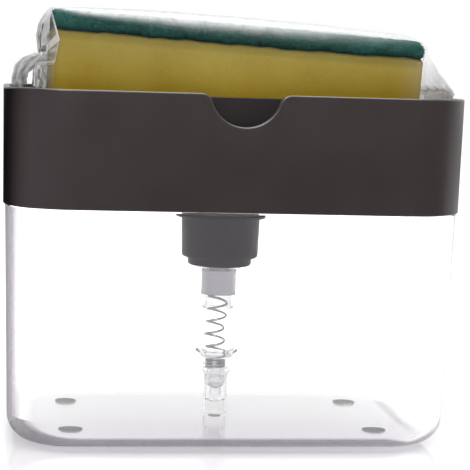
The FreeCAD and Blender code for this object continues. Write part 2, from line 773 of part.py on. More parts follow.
def make_plug():
    """The plug on the stem's end: it holds the spring's top, and its ports open under the piston."""
    body = new_body("stem_plug")
    turn(body, "plug_form", [
        ("plug_bore / 2", "plug_end"),
        ("plug_diameter / 2", "plug_end"),
        ("plug_diameter / 2", "piston_end"),
        ("plug_neck_diameter / 2", "piston_end"),
        ("plug_neck_diameter / 2", "plug_top"),
        ("stem_diameter / 2 + fit_gap", "plug_top"),
        ("stem_diameter / 2 + fit_gap", "stem_end"),
        ("stem_bore / 2", "stem_end"),
        ("stem_bore / 2", "plug_floor"),
        ("0", "plug_floor"),
        ("0", "plug_roof"),
        ("spring_diameter / 2 + side_gap", "plug_roof"),
        ("spring_diameter / 2 + side_gap", "piston_end"),
    ])
    port = new_sketch(body, "plug_port_profile", "XZ_Plane", "plug_diameter / 2 + overrun")
    draw_circle(port, "plug_port_diameter", "0", "plug_floor + plug_port_room / 2")
    pocket(body, "plug_port", port, "plug_diameter + 2 * overrun")
    return body


def make_piston():
    body = new_body("piston_seal")
    lip = "barrel_bore / 2 - fit_gap"
    waist = "barrel_bore / 2 - piston_waist"
    turn(body, "piston_form", [
        ("plug_neck_diameter / 2 + fit_gap", "piston_end"),
        (lip, "piston_end"),
        (lip, "piston_end + piston_lip / 2"),
        (waist, "piston_end + piston_lip"),
        (waist, "piston_top - piston_lip"),
        (lip, "piston_top - piston_lip / 2"),
        (lip, "piston_top"),
        ("plug_neck_diameter / 2 + fit_gap", "piston_top"),
    ])
    return body


# Return spring: one wire, closed at both ends, with open turns between
def spring_path():
    """Places and directions along the wire, four to a turn, with the wire's radius about the axis."""
    wire = value("spring_wire")
    mean = (value("spring_diameter") - wire) / 2
    closed = wire + value("spring_turn_gap")
    low = value("spring_seat + seat_gap") + wire / 2
    high = value("plug_roof - seat_gap") - wire / 2
    open_pitch = high - low - closed * (SPRING_CLOSED_BELOW + SPRING_CLOSED_ABOVE)
    open_pitch = open_pitch / SPRING_OPEN_TURNS
    turns = SPRING_CLOSED_BELOW + SPRING_OPEN_TURNS + SPRING_CLOSED_ABOVE
    count = int(turns * STEPS_PER_TURN)

    def rise(step):
        done = step / STEPS_PER_TURN
        below = min(done, SPRING_CLOSED_BELOW)
        above = max(done - SPRING_CLOSED_BELOW - SPRING_OPEN_TURNS, 0)
        return low + closed * (below + above) + open_pitch * (done - below - above)

    nodes = []
    for step in range(count + 1):
        angle = 2 * math.pi * step / STEPS_PER_TURN
        place = FreeCAD.Vector(mean * math.cos(angle), mean * math.sin(angle), rise(step))
        if step in (0, count):
            climb = 0
        else:
            climb = (rise(step + 1) - rise(step - 1)) * STEPS_PER_TURN / 2
        around = 2 * math.pi * mean
        heading = FreeCAD.Vector(-around * math.sin(angle), around * math.cos(angle), climb)
        nodes.append((place, heading.normalize()))
    return nodes


def arc_from(start, heading, end):
    """The arc that leaves a point along a heading and reaches another point."""
    chord = end - start
    side = chord - heading * chord.dot(heading)
    radius = chord.dot(chord) / (2 * side.dot(side) / side.Length)
    centre = start + side.normalize() * radius
    middle = (start + end) * (1 / 2) - centre
    return Part.Arc(start, centre + middle.normalize() * radius, end)


def biarc(first, second):
    """Two arcs that join two places smoothly along their headings."""
    (start, leaving), (end, arriving) = first, second
    span = end - start
    total = leaving + arriving
    bend = 2 * (leaving.dot(arriving) - 1)
    along = 2 * span.dot(total)
    reach = (along - math.sqrt(along ** 2 - 4 * bend * span.dot(span))) / (2 * bend)
    if reach < 0:
        reach = (along + math.sqrt(along ** 2 - 4 * bend * span.dot(span))) / (2 * bend)
    joint = (start + end + (leaving - arriving) * reach) * (1 / 2)
    return arc_from(start, leaving, joint), arc_from(end, arriving * -1, joint)


def make_spring():
    nodes = spring_path()
    wire = value("spring_wire")
    (first, leaving), (last, arriving) = nodes[0], nodes[-1]
    edges = [Part.LineSegment(first - leaving * wire, first).toShape()]
    for start, end in zip(nodes, nodes[1:]):
        near, far = biarc(start, end)
        edges.append(near.toShape())
        edges.append(far.toShape())
    edges.append(Part.LineSegment(last, last + arriving * wire).toShape())
    path = Part.Wire(Part.__sortEdges__(edges))
    section = Part.Wire(Part.Circle(first - leaving * wire, leaving, wire / 2).toShape())
    spring = doc.addObject("Part::Feature", "return_spring")
    spring.Shape = path.makePipeShell([section], True, False)
    spring.Placement = FreeCAD.Placement()
    points = [point for edge in path.Edges for point in edge.discretize(STEPS_PER_TURN * 2)[1:]]
    around = math.pi * (value("spring_diameter") - wire)
    step = around / (STEPS_PER_TURN * 2 * 2 * STEPS_PER_TURN)
    apart = int(around / 2 / step)
    least = min(
        (one - other).Length
        for index, one in enumerate(points)
        for other in points[index + apart:]
    )
    swept = math.pi * wire ** 2 / 4 * path.Length
    print("spring gap to itself", round(least - wire, 3))
    print("spring volume over section times length", round(spring.Shape.Volume / swept, 3))
    return spring


# Sponge: foam with a scouring layer, tilted in the tray inside a clear film with a tail at each end
def lay_tilted(body):
    """Puts a body into the sponge's tilted frame, which lies a little to the left."""
    body.Placement = FreeCAD.Placement(FreeCAD.Vector(), FreeCAD.Rotation(FreeCAD.Vector(0, 1, 0), 1))
    body.setExpression("Placement.Rotation.Angle", bound("sponge_tilt") + " * 1 deg")
    body.setExpression("Placement.Base.x", "-" + bound("sponge_shift"))
    body.setExpression("Placement.Base.z", bound("foam_rest"))


def make_slab(label, bottom, thickness):
    body = new_body(label)
    plan = new_sketch(body, label + "_plan", "XY_Plane", bottom)
    draw_rounded(plan, "sponge_length", "sponge_width", "sponge_corner")
    pad(body, label + "_form", plan, thickness)
    lay_tilted(body)
    return body


def make_wrapper():
    body = new_body("sponge_wrapper")

    def section(name, across, half_width, bottom, top):
        sketch = new_sketch(body, name, "YZ_Plane", across)
        draw_outline(sketch, [
            (f"-({half_width})", bottom),
            (half_width, bottom),
            (half_width, top),
            (f"-({half_width})", top),
        ])
        return sketch

    def skin(name, shrink, end, cuts):
        """The film's outer or inner face, from tail to tail."""
        half = f"sponge_width / 2 + film_under - {shrink}"
        low = f"-(film_under - {shrink})"
        high = f"film_top - {shrink}"
        loft(body, name, [
            section(name + "_left_tip", f"-(reach_left - {shrink})", f"tail_left_width / 2 - {shrink}",
                    f"tip_left + {shrink}", f"tip_left + tail_thickness - {shrink}"),
            section(name + "_left", f"-({end})", half, low, high),
            section(name + "_right", end, half, low, high),
            section(name + "_right_tip", f"reach_right - {shrink}", f"tail_right_width / 2 - {shrink}",
                    f"tip_right + {shrink}", f"tip_right + tail_thickness - {shrink}"),
        ], cuts)

    skin("film_outside", "0", "film_half", False)
    skin("film_inside", "film_thickness", "film_inner_half", True)
    lay_tilted(body)
    return body


FEET = {
    "foot_front_left": ("-", "-"),
    "foot_front_right": ("", "-"),
    "foot_back_left": ("-", ""),
    "foot_back_right": ("", ""),
}

nodes = [make_tank()]
nodes += [make_foot(label, side, end) for label, (side, end) in FEET.items()]
nodes += [make_frame(), make_collar(), make_gasket(), make_barrel(), make_guide(), make_tube(), make_ball()]
nodes += [make_stem(), make_plug(), make_piston(), make_spring(), make_tray()]
nodes += [
    make_slab("sponge_foam", "0", "foam_thickness"),
    make_slab("scour_pad", "foam_thickness", "scour_thickness"),
    make_wrapper(),
]
doc.recompute()

for item in doc.Objects:
    if "Invalid" in item.State or "Error" in item.State:
        raise RuntimeError(f"{item.Name} failed: {item.State}")
for node in nodes:
    if node.Shape.isNull() or not node.Shape.isValid():
        raise RuntimeError(f"{node.Label} has no valid shape")

os.makedirs("parts", exist_ok=True)
for node in nodes:
    node.Shape.exportStep(f"parts/{node.Label}.step")
    box = node.Shape.BoundBox
    print(node.Label, round(node.Shape.Volume), "mm3, from z", round(box.ZMin, 2), "to", round(box.ZMax, 2))
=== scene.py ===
"""Looks of the soap pump caddy: clear tank, dark frame, lotion pump and a sponge in crinkled film."""

import math

import bpy
import numpy as np
from mathutils import Matrix, Vector, noise


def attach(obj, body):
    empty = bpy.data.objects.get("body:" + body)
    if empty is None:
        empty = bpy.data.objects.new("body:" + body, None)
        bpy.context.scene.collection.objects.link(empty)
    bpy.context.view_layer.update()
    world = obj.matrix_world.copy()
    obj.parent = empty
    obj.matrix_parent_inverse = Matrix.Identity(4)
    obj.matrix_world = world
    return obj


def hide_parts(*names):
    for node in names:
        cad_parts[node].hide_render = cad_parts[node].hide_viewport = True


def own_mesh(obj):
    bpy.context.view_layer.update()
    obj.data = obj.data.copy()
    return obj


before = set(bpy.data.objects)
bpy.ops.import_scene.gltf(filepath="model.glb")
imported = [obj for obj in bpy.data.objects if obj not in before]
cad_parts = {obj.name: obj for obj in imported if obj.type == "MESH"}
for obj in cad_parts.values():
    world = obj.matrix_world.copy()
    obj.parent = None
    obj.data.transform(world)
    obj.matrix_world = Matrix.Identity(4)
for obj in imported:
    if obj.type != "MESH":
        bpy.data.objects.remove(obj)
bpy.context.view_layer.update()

# Sizes are in millimetres, as in the CAD, and become metres where a mesh is made
MM = 0.001

# Plan of the frame: every wall is this outline drawn in by an inset
HALF_WIDTH, HALF_DEPTH, CORNER = 67.5, 46.0, 20.0
CORE_X, CORE_Y = HALF_WIDTH - CORNER, HALF_DEPTH - CORNER
RIM, FRAME_FOOT, DRAFT = 103.5, 70.0, 0.45
NOTCH_DEPTH, NOTCH_RADIUS, NOTCH_BLEND = 9.3, 10.0, 3.5

# Pump: radii and levels that its pieces share
BARREL_LEDGE, SPRING_SEAT, TUBE_TOP = 54.7, 17.5, 15.5
TUBE_RADIUS, STEM_RADIUS = 3.61, 3.26
PISTON_FOOT, PISTON_TOP = 41.0, 48.5
WIRE_RADIUS = 0.35

# Tray: levels of its floor, and the hub that takes the stem
TRAY_UNDERSIDE, TRAY_FLOOR, WEB_FOOT, HUB_FOOT = 91.0, 93.0, 88.0, 83.5

# Sponge: its tilted frame starts at the middle of the foam's underside
SPONGE_SHIFT, SPONGE_REST, SPONGE_TILT = -1.6, 97.75, math.radians(3.2)
SPONGE_HALF, SPONGE_DEEP, FOAM_TOP, PAD_TOP = 54.0, 35.0, 19.6, 25.0
SPONGE_CORNER = 2.5

# Film: how far it stands off the sponge, and the insets of the walls that it stays within
FILM_END, FILM_FRONT, FILM_BACK, FILM_UNDER, FILM_OVER = 0.4, 0.6, 0.5, 0.5, 0.35
TRAY_ROOM, FRAME_ROOM, TRAY_ROOM_TOP = 4.4, 2.3, 103.0

# A point nearer the axis than this lies on it; edges sharper than this angle stay sharp
ON_AXIS, SMOOTH_ANGLE = 1e-6, 35.0


# Meshes
def make_piece(name, points, faces, material, angle=SMOOTH_ANGLE):
    """A mesh piece from points in millimetres, smooth but for edges sharper than the angle."""
    mesh = bpy.data.meshes.new(name)
    mesh.from_pydata((np.asarray(points, float) * MM).tolist(), [], faces)
    mesh.validate()
    mesh.shade_smooth()
    mesh.set_sharp_from_angle(angle=math.radians(angle))
    mesh.materials.append(material)
    piece = bpy.data.objects.new(name, mesh)
    bpy.context.scene.collection.objects.link(piece)
    return piece


def mark_points(piece, name, values):
    """A value for each point of a piece, which its material reads."""
    mark = piece.data.attributes.new(name, "FLOAT", "POINT")
    mark.data.foreach_set("value", np.asarray(values, np.float32))


def fade(values, start, end):
    """How far values have come from start to end, held between 0 and 1."""
    return np.clip((values - start) / (end - start), 0, 1)


def bridge(loops, closed=False):
    """Points and faces of a skin through loops of equal count; a skin that isn't closed is capped."""
    count = len(loops[0])
    points = [point for loop in loops for point in loop]
    rows = len(loops)
    faces = []
    for row in range(rows if closed else rows - 1):
        below, above = row * count, (row + 1) % rows * count
        for step in range(count):
            after = (step + 1) % count
            faces.append((below + step, below + after, above + after, above + step))
    if not closed:
        faces.append(tuple(reversed(range(count))))
        faces.append(tuple(range((rows - 1) * count, rows * count)))
    return points, faces


def sheet(rows):
    """Points and faces of an open skin through rows of equal count."""
    count = len(rows[0])
    points = [point for row in rows for point in row]
    faces = []
    for row in range(len(rows) - 1):
        for step in range(count - 1):
            at = row * count + step
            faces.append((at, at + 1, at + count + 1, at + count))
    return points, faces


def arc(centre, radius, start, end, steps):
    """Points of an arc in a plane, angles in degrees."""
    angles = np.radians(np.linspace(start, end, steps + 1))
    return [(centre[0] + radius * math.cos(a), centre[1] + radius * math.sin(a)) for a in angles]


def rounded(profile, radius, steps=3):
    """A closed outline with its corners rounded, apart from those on the axis."""
    longest_share = 0.45
    result = []
    count = len(profile)
    for index, point in enumerate(profile):
        here = np.array(point, float)
        if here[0] < ON_AXIS or radius == 0:
            result.append(tuple(here))
            continue
        ways = []
        for other in (profile[index - 1], profile[(index + 1) % count]):
            way = np.array(other, float) - here
            length = np.linalg.norm(way)
            ways.append(way / length * min(radius, longest_share * length))
        for t in np.linspace(0, 1, steps + 1):
            result.append(tuple(here + ways[0] * (1 - t) ** 2 + ways[1] * t ** 2))
    return result


def lathe(name, profile, material, radius=0.2, steps=72):
    """A turned piece: a closed outline of radius and height, spun about the upright axis."""
    points, faces, circles = [], [], []
    for r, z in rounded(profile, radius):
        if r < ON_AXIS:
            circles.append([len(points)] * steps)
            points.append((0, 0, z))
        else:
            circles.append(list(range(len(points), len(points) + steps)))
            for step in range(steps):
                a = 2 * math.pi * step / steps
                points.append((r * math.cos(a), r * math.sin(a), z))
    for one, two in zip(circles, circles[1:] + circles[:1]):
        for step in range(steps):
            after = (step + 1) % steps
            face = list(dict.fromkeys([one[step], one[after], two[after], two[step]]))
            if len(face) > 2:
                faces.append(tuple(face))
    return make_piece(name, points, faces, material)


# Loops that follow the frame's plan
def notch_curve():
    """The finger notch seen from the front: places along it and the direction away from the wall."""
    blend_steps, notch_steps = 12, 48
    centre = RIM - NOTCH_DEPTH + NOTCH_RADIUS
    blend = RIM - NOTCH_BLEND
    half = math.sqrt((NOTCH_RADIUS + NOTCH_BLEND) ** 2 - (centre - blend) ** 2)
    lean = math.degrees(math.atan2(blend - centre, half))
    places, ways = [], []
    for x, z in arc((-half, blend), NOTCH_BLEND, 90, -lean, blend_steps)[:-1]:
        places.append((x, z))
        ways.append(((x + half) / NOTCH_BLEND, (z - blend) / NOTCH_BLEND))
    for x, z in arc((0, centre), NOTCH_RADIUS, 180 - lean, 360 + lean, notch_steps):
        places.append((x, z))
        ways.append((-x / NOTCH_RADIUS, (centre - z) / NOTCH_RADIUS))
    for (x, z), (a, b) in list(zip(places, ways))[blend_steps - 1::-1]:
        places.append((-x, z))
        ways.append((-a, b))
    return places, ways


def plan():
    """The core of the frame's plan, a row for each point.

    A row holds the core place, the outward direction, the rim's height and the rim's direction.
    """
    front_steps, side_steps, back_steps, corner_steps = 12, 14, 30, 25
    places, ways = notch_curve()
    edge = places[-1][0]
    rows = []
    for x in np.linspace(-CORE_X, -edge, front_steps)[:-1]:
        rows.append((x, -CORE_Y, 0, -1, RIM, 0, 1))
    for (x, z), (a, b) in zip(places, ways):
        rows.append((x, -CORE_Y, 0, -1, z, a, b))
    for x in np.linspace(edge, CORE_X, front_steps)[1:]:
        rows.append((x, -CORE_Y, 0, -1, RIM, 0, 1))

    def corner(x, y, start):
        for a in np.radians(np.linspace(start, start + 90, corner_steps)[1:-1]):
            rows.append((x, y, math.cos(a), math.sin(a), RIM, 0, 1))

    corner(CORE_X, -CORE_Y, -90)
    for y in np.linspace(-CORE_Y, CORE_Y, side_steps):
        rows.append((CORE_X, y, 1, 0, RIM, 0, 1))
    corner(CORE_X, CORE_Y, 0)
    for x in np.linspace(CORE_X, -CORE_X, back_steps):
        rows.append((x, CORE_Y, 0, 1, RIM, 0, 1))
    corner(-CORE_X, CORE_Y, 90)
    for y in np.linspace(CORE_Y, -CORE_Y, side_steps):
        rows.append((-CORE_X, y, -1, 0, RIM, 0, 1))
    corner(-CORE_X, -CORE_Y, 180)
    return np.array(rows)


PLAN = plan()


def wall(inset, z):
    """A loop of the plan at a height, drawn in by an inset."""
    reach = CORNER - inset
    return np.column_stack([
        PLAN[:, 0] + PLAN[:, 2] * reach,
        PLAN[:, 1] + PLAN[:, 3] * reach,
        np.full(len(PLAN), z),
    ])


def walls(rows):
    """A loop of the plan for each row of inset and height."""
    return [wall(inset, z) for inset, z in rows]


def wall_round(inset, level, radius, start, end, count):
    """Loops round the edge between a wall and a floor or top, angles in degrees."""
    return [
        wall(inset + radius - radius * math.cos(a), level + radius * math.sin(a))
        for a in np.radians(np.linspace(start, end, count))
    ]


def rings(rows):
    """A circle for each row of radius and height, with as many points as the plan and turned to match it."""
    angles = np.arctan2(PLAN[:, 1] + PLAN[:, 3] * CORNER, PLAN[:, 0] + PLAN[:, 2] * CORNER)
    return [
        np.column_stack([radius * np.cos(angles), radius * np.sin(angles), np.full(len(PLAN), z)])
        for radius, z in rows
    ]


def rim_round(inset, radius, start, end, count):
    """Loops round one edge of the rim and its notch: drawn in, and sunk square to the rim."""
    loops = []
    for a in np.radians(np.linspace(start, end, count)):
        drawn, drop = inset + radius * (1 - math.cos(a)), radius * (1 - math.sin(a))
        reach = CORNER - drawn - DRAFT * (RIM - PLAN[:, 4]) / (RIM - FRAME_FOOT)
        loops.append(np.column_stack([
            PLAN[:, 0] + PLAN[:, 2] * reach - PLAN[:, 5] * drop,
            PLAN[:, 1] + PLAN[:, 3] * reach,
            PLAN[:, 4] - PLAN[:, 6] * drop,
        ]))
    return loops


def tilted(points):
    """Places in the sponge's tilted frame as places in the caddy's frame."""
    p = np.asarray(points, float)
    c, s = math.cos(SPONGE_TILT), math.sin(SPONGE_TILT)
    return np.column_stack([
        SPONGE_SHIFT + p[:, 0] * c + p[:, 2] * s,
        p[:, 1],
        SPONGE_REST - p[:, 0] * s + p[:, 2] * c,
    ])


# Node trees
def add(tree, kind, inputs=None, **settings):
    """A node with its settings and inputs; an input is a value or another node's socket."""
    node = tree.nodes.new(kind)
    for key, setting in settings.items():
        setattr(node, key, setting)
    for key, given in (inputs or {}).items():
        if isinstance(given, bpy.types.NodeSocket):
            tree.links.new(given, node.inputs[key])
        else:
            node.inputs[key].default_value = given
    return node


def new_material(name):
    """A material without nodes, and its tree."""
    material = bpy.data.materials.new(name)
    material.use_nodes = True
    material.node_tree.nodes.clear()
    return material, material.node_tree


def here(tree):
    """The place on the piece."""
    return add(tree, "ShaderNodeTexCoord").outputs["Object"]


def marked(tree, name):
    """A mark that the piece's points carry; zero where they carry none."""
    return add(tree, "ShaderNodeAttribute", attribute_name=name).outputs["Fac"]


def clouds(tree, place, scale, detail=2.0, rough=0.5, twist=0.0):
    """Soft noise over the piece."""
    return add(tree, "ShaderNodeTexNoise", {
        "Vector": place, "Scale": scale, "Detail": detail, "Roughness": rough, "Distortion": twist,
    }).outputs["Fac"]


def over(tree, value, span, levels):
    """A value that goes from one level to another over a span, and keeps them beyond it."""
    return add(tree, "ShaderNodeMapRange", {
        "Value": value, "From Min": span[0], "From Max": span[1], "To Min": levels[0], "To Max": levels[1],
    }).outputs["Result"]


def ramp(tree, value, stops):
    """A colour ramp over stops of place and colour."""
    node = add(tree, "ShaderNodeValToRGB", {"Fac": value})
    while len(node.color_ramp.elements) < len(stops):
        node.color_ramp.elements.new(0.5)
    for element, (place, colour) in zip(node.color_ramp.elements, stops):
        element.position = place
        element.color = (*colour, 1)
    return node.outputs["Color"]


def maths(tree, operation, one, two=0.0, three=0.0, clamp=False):
    """The result of a sum with up to three values."""
    node = add(tree, "ShaderNodeMath", {0: one, 1: two, 2: three}, operation=operation, use_clamp=clamp)
    return node.outputs["Value"]


def scaled(tree, colour, share):
    """A colour made lighter or darker by a share."""
    node = add(tree, "ShaderNodeVectorMath", {0: colour, "Scale": share}, operation="SCALE")
    return node.outputs["Vector"]


def mixed(tree, share, one, two):
    """A colour between two colours."""
    return add(tree, "ShaderNodeMix", {0: share, 6: one, 7: two}, data_type="RGBA").outputs[2]


def blend(tree, share, one, two):
    """A shader between two shaders."""
    return add(tree, "ShaderNodeMixShader", {0: share, 1: one, 2: two}).outputs["Shader"]


def plain_shader(tree, colour, kind="Diffuse"):
    """A plain shader of one colour: Diffuse, Translucent or Transparent."""
    return add(tree, "ShaderNodeBsdf" + kind, {"Color": (*colour, 1)}).outputs["BSDF"]


def sponge_level(tree, place):
    """Height at the caddy's middle of the plane through a place that lies as the tilted sponge does."""
    split = add(tree, "ShaderNodeSeparateXYZ", {"Vector": place}).outputs
    return maths(tree, "ADD", split["Z"], maths(tree, "MULTIPLY", split["X"], math.tan(SPONGE_TILT)))


def moulded_group():
    """Fine grain and slow waviness of moulded plastic, as a mottle and a normal."""
    group = bpy.data.node_groups.new("moulded_skin", "ShaderNodeTree")
    for label, default in (("Grain", 2600.0), ("Depth", 0.05)):
        socket = group.interface.new_socket(label, in_out="INPUT", socket_type="NodeSocketFloat")
        socket.default_value = default
    group.interface.new_socket("Mottle", in_out="OUTPUT", socket_type="NodeSocketFloat")
    group.interface.new_socket("Normal", in_out="OUTPUT", socket_type="NodeSocketVector")
    given = group.nodes.new("NodeGroupInput").outputs
    place = here(group)
    bump = add(group, "ShaderNodeBump", {
        "Height": clouds(group, place, given["Grain"]), "Strength": given["Depth"], "Distance": 0.0002,
    })
    add(group, "NodeGroupOutput", {
        "Mottle": clouds(group, place, 45.0, detail=3.0), "Normal": bump.outputs["Normal"],
    })
    return group


MOULDED = moulded_group()


# Materials
def plastic(name, dark, light, rough, grain=2600.0, depth=0.05, gloss_mark=None, extra=None):
    """A solid moulded plastic: mottled colour, uneven gloss and a fine grain.

    A piece with a gloss mark also has the mark "shade", a painted shade that darkens it below zero and a
    painted light that pales it above.
    """
    mottle_span, gloss_spread, greyer = (0.3, 0.7), 0.04, (0.021, 0.0215, 0.0245)
    material, tree = new_material(name)
    skin = add(tree, "ShaderNodeGroup", {"Grain": grain, "Depth": depth}, node_tree=MOULDED).outputs
    colour = ramp(tree, skin["Mottle"], list(zip(mottle_span, (dark, light))))
    gloss = over(tree, skin["Mottle"], mottle_span, (rough - gloss_spread, rough + gloss_spread))
    shader = add(tree, "ShaderNodeBsdfPrincipled", {
        "Base Color": colour, "Roughness": gloss, "Normal": skin["Normal"], **(extra or {}),
    })
    if gloss_mark:
        shine = maths(tree, "MULTIPLY_ADD", marked(tree, gloss_mark), 0.6, 0.4)
        tree.links.new(shine, shader.inputs["Specular IOR Level"])
        # Painted light and shade: below zero the colour is darkened, above zero a paler grey is added
        shade = marked(tree, "shade")
        share = maths(tree, "ADD", maths(tree, "MINIMUM", shade, 0.0), 1.0)
        darker = scaled(tree, colour, share)
        paler = scaled(tree, greyer, maths(tree, "MAXIMUM", shade, 0.0))
        shaded = add(tree, "ShaderNodeVectorMath", {0: darker, 1: paler}, operation="ADD")
        tree.links.new(shaded.outputs["Vector"], shader.inputs["Base Color"])
    add(tree, "ShaderNodeOutputMaterial", {"Surface": shader.outputs["BSDF"]})
    return material


def frosted_surface(tree, shader, gloss, frost):
    """The shader's surface made cloudy over height: rougher, and veiled with white."""
    tallest, rough_share, veil_share = 60.0, 0.35, 0.5
    height = add(tree, "ShaderNodeSeparateXYZ", {"Vector": here(tree)}).outputs["Z"]
    share = over(tree, height, (0.0, tallest * MM), (0.0, 1.0))
    cloud = ramp(tree, share, [(z / tallest, (level,) * 3) for z, level in frost])
    rougher = maths(tree, "ADD", gloss, maths(tree, "MULTIPLY", cloud, rough_share))
    tree.links.new(rougher, shader.inputs["Roughness"])
    veil = maths(tree, "MULTIPLY", cloud, veil_share)
    return blend(tree, veil, shader.outputs["BSDF"], plain_shader(tree, (1, 1, 1)))


def edged_surface(tree, shader, edge):
    """The shader's surface with an edge tint, partly painted shade, where marked faces turn away from the
    eye.

    The mark "turned" says how much, "sole" deepens the tint, "shade" darkens it with painted shade and "gate"
    makes it dull.
    """
    white, black, cloudy_grey, gate_grey = (1, 1, 1), (0, 0, 0), (0.6, 0.575, 0.61), (0.05, 0.045, 0.05)
    half = tuple(0.4 + 0.6 * c for c in edge)
    deepest = tuple(0.72 * c for c in edge)
    facing = add(tree, "ShaderNodeLayerWeight", {"Blend": 0.5}).outputs["Facing"]
    behind = add(tree, "ShaderNodeNewGeometry").outputs["Backfacing"]
    outward = maths(tree, "SUBTRACT", facing, behind, clamp=True)
    turned = maths(tree, "MULTIPLY", outward, marked(tree, "turned"))
    sole = marked(tree, "sole")
    shallow = ramp(tree, turned, [(0.3, white), (0.43, half), (0.53, edge)])
    deep = ramp(tree, turned, [(0.27, white), (0.36, edge), (0.5, deepest)])
    share = maths(tree, "MULTIPLY_ADD", marked(tree, "shade"), turned, 1.0)
    tree.links.new(scaled(tree, mixed(tree, sole, shallow, deep), share), shader.inputs["Base Color"])
    # Where the side walls turn away most they are painted a cloudy grey, a painted shade
    cloudy = blend(tree, 0.6, plain_shader(tree, cloudy_grey), plain_shader(tree, cloudy_grey, "Translucent"))
    upright = maths(tree, "SUBTRACT", turned, sole, clamp=True)
    thick = ramp(tree, upright, [(0.56, black), (0.68, (0.9,) * 3)])
    surface = blend(tree, thick, shader.outputs["BSDF"], cloudy)
    return blend(tree, marked(tree, "gate"), surface, plain_shader(tree, gate_grey))


def clear_plastic(name, tint, density, rough, haze=0.0, bend=1.49, edge=None, frost=None):
    """A clear plastic that takes up some light inside and lets lamps through.

    It may have an edge, a tint where it turns away that is partly painted shade, or frost, a list of heights
    and how cloudy it is there.
    """
    mottle_span, gloss_spread = (0.35, 0.65), 0.02
    material, tree = new_material(name)
    skin = add(tree, "ShaderNodeGroup", {"Depth": 0.0}, node_tree=MOULDED).outputs
    gloss = over(tree, skin["Mottle"], mottle_span, (rough, rough + gloss_spread))
    shader = add(tree, "ShaderNodeBsdfPrincipled", {
        "Base Color": (1, 1, 1, 1), "Roughness": gloss, "IOR": bend, "Transmission Weight": 1.0 - haze,
    })
    surface = shader.outputs["BSDF"]
    if frost:
        surface = frosted_surface(tree, shader, gloss, frost)
    if edge:
        surface = edged_surface(tree, shader, edge)
    path = add(tree, "ShaderNodeLightPath").outputs
    unseen = maths(tree, "MAXIMUM", path["Is Shadow Ray"], path["Is Diffuse Ray"])
    inside = add(tree, "ShaderNodeVolumeAbsorption", {"Color": (*tint, 1), "Density": density})
    add(tree, "ShaderNodeOutputMaterial", {
        "Surface": blend(tree, unseen, surface, plain_shader(tree, tint, "Transparent")),
        "Volume": inside.outputs["Volume"],
    })
    return material


def steel_material():
    """Drawn spring wire."""
    material, tree = new_material("spring_wire")
    drawn = clouds(tree, here(tree), 900.0, detail=3.0)
    colour = ramp(tree, drawn, [(0.3, (0.36, 0.36, 0.38)), (0.7, (0.56, 0.56, 0.58))])
    shader = add(tree, "ShaderNodeBsdfPrincipled", {"Base Color": colour, "Metallic": 1.0, "Roughness": 0.3})
    add(tree, "ShaderNodeOutputMaterial", {"Surface": shader.outputs["BSDF"]})
    return material


def foam_material():
    """Open-cell foam: fine pores of two sizes, painted darker as shade in their pits, over slow patches.

    It is deeper in colour towards the tray and has a painted shade under the seam.
    """
    painted_pore_shade, seam_reach = (0.16, 0.11, 0.008, 1), 3.2
    material, tree = new_material("sponge_foam")
    place = here(tree)
    height = add(tree, "ShaderNodeSeparateXYZ", {"Vector": place}).outputs["Z"]
    patches = clouds(tree, place, 55.0, detail=5.0)
    fine, large = [
        add(tree, "ShaderNodeTexVoronoi", {"Vector": place, "Scale": scale}).outputs["Distance"]
        for scale in (1100.0, 520.0)
    ]
    depth = over(tree, maths(tree, "MINIMUM", fine, large), (0.02, 0.3), (0.82, 1.0))
    upper = ramp(tree, patches, [(0.35, (0.28, 0.213, 0.046)), (0.65, (0.314, 0.254, 0.063))])
    lower = ramp(tree, patches, [(0.35, (0.336, 0.218, 0.0145)), (0.65, (0.364, 0.252, 0.021))])
    base = mixed(tree, over(tree, height, (0.102, 0.116), (0.0, 1.0)), lower, upper)
    # Painted shade: the foam darkens towards the seam above it
    seam_level = SPONGE_REST + FOAM_TOP
    seam_span = ((seam_level - seam_reach) * MM, seam_level * MM)
    seam_shade = over(tree, sponge_level(tree, place), seam_span, (1.0, 0.48))
    # The pores are painted darker, a painted shade in their pits
    colour = scaled(tree, mixed(tree, depth, painted_pore_shade, base), seam_shade)
    bump = add(tree, "ShaderNodeBump", {"Height": depth, "Strength": 0.35, "Distance": 0.0004})
    shader = add(tree, "ShaderNodeBsdfPrincipled", {
        "Base Color": colour, "Roughness": 0.9, "Specular IOR Level": 0.15,
        "Subsurface Weight": 0.15, "Subsurface Radius": (0.004, 0.003, 0.001), "Subsurface Scale": 0.4,
        "Normal": bump.outputs["Normal"],
    })
    add(tree, "ShaderNodeOutputMaterial", {"Surface": shader.outputs["BSDF"]})
    return material


def scour_material():
    """Non-woven scouring fibre: resin-coated strands of uneven green, with painted light towards its top and
    painted shade towards the seam.
    """
    deep, middle, pale = (0.003, 0.03, 0.024), (0.009, 0.07, 0.055), (0.024, 0.12, 0.098)
    strand_share, patch_share = 0.7, 0.3
    material, tree = new_material("scour_fibre")
    place = here(tree)
    strands = clouds(tree, place, 420.0, detail=6.0, rough=0.7, twist=1.4)
    patches = maths(tree, "MULTIPLY", clouds(tree, place, 90.0, detail=3.0), patch_share)
    shade = maths(tree, "ADD", maths(tree, "MULTIPLY", strands, strand_share), patches)
    green = ramp(tree, shade, [(0.34, deep), (0.5, middle), (0.7, pale)])
    # Painted light and shade: the green is paler towards the pad's top and darker at the seam
    pad_span = ((SPONGE_REST + FOAM_TOP) * MM, (SPONGE_REST + PAD_TOP) * MM)
    level = over(tree, sponge_level(tree, place), pad_span, (0.55, 1.55))
    bump = add(tree, "ShaderNodeBump", {"Height": strands, "Strength": 0.8, "Distance": 0.0008})
    shader = add(tree, "ShaderNodeBsdfPrincipled", {
        "Base Color": scaled(tree, green, level), "Roughness": 0.7, "Specular IOR Level": 0.3,
        "Normal": bump.outputs["Normal"],
    })
    add(tree, "ShaderNodeOutputMaterial", {"Surface": shader.outputs["BSDF"]})
    return material


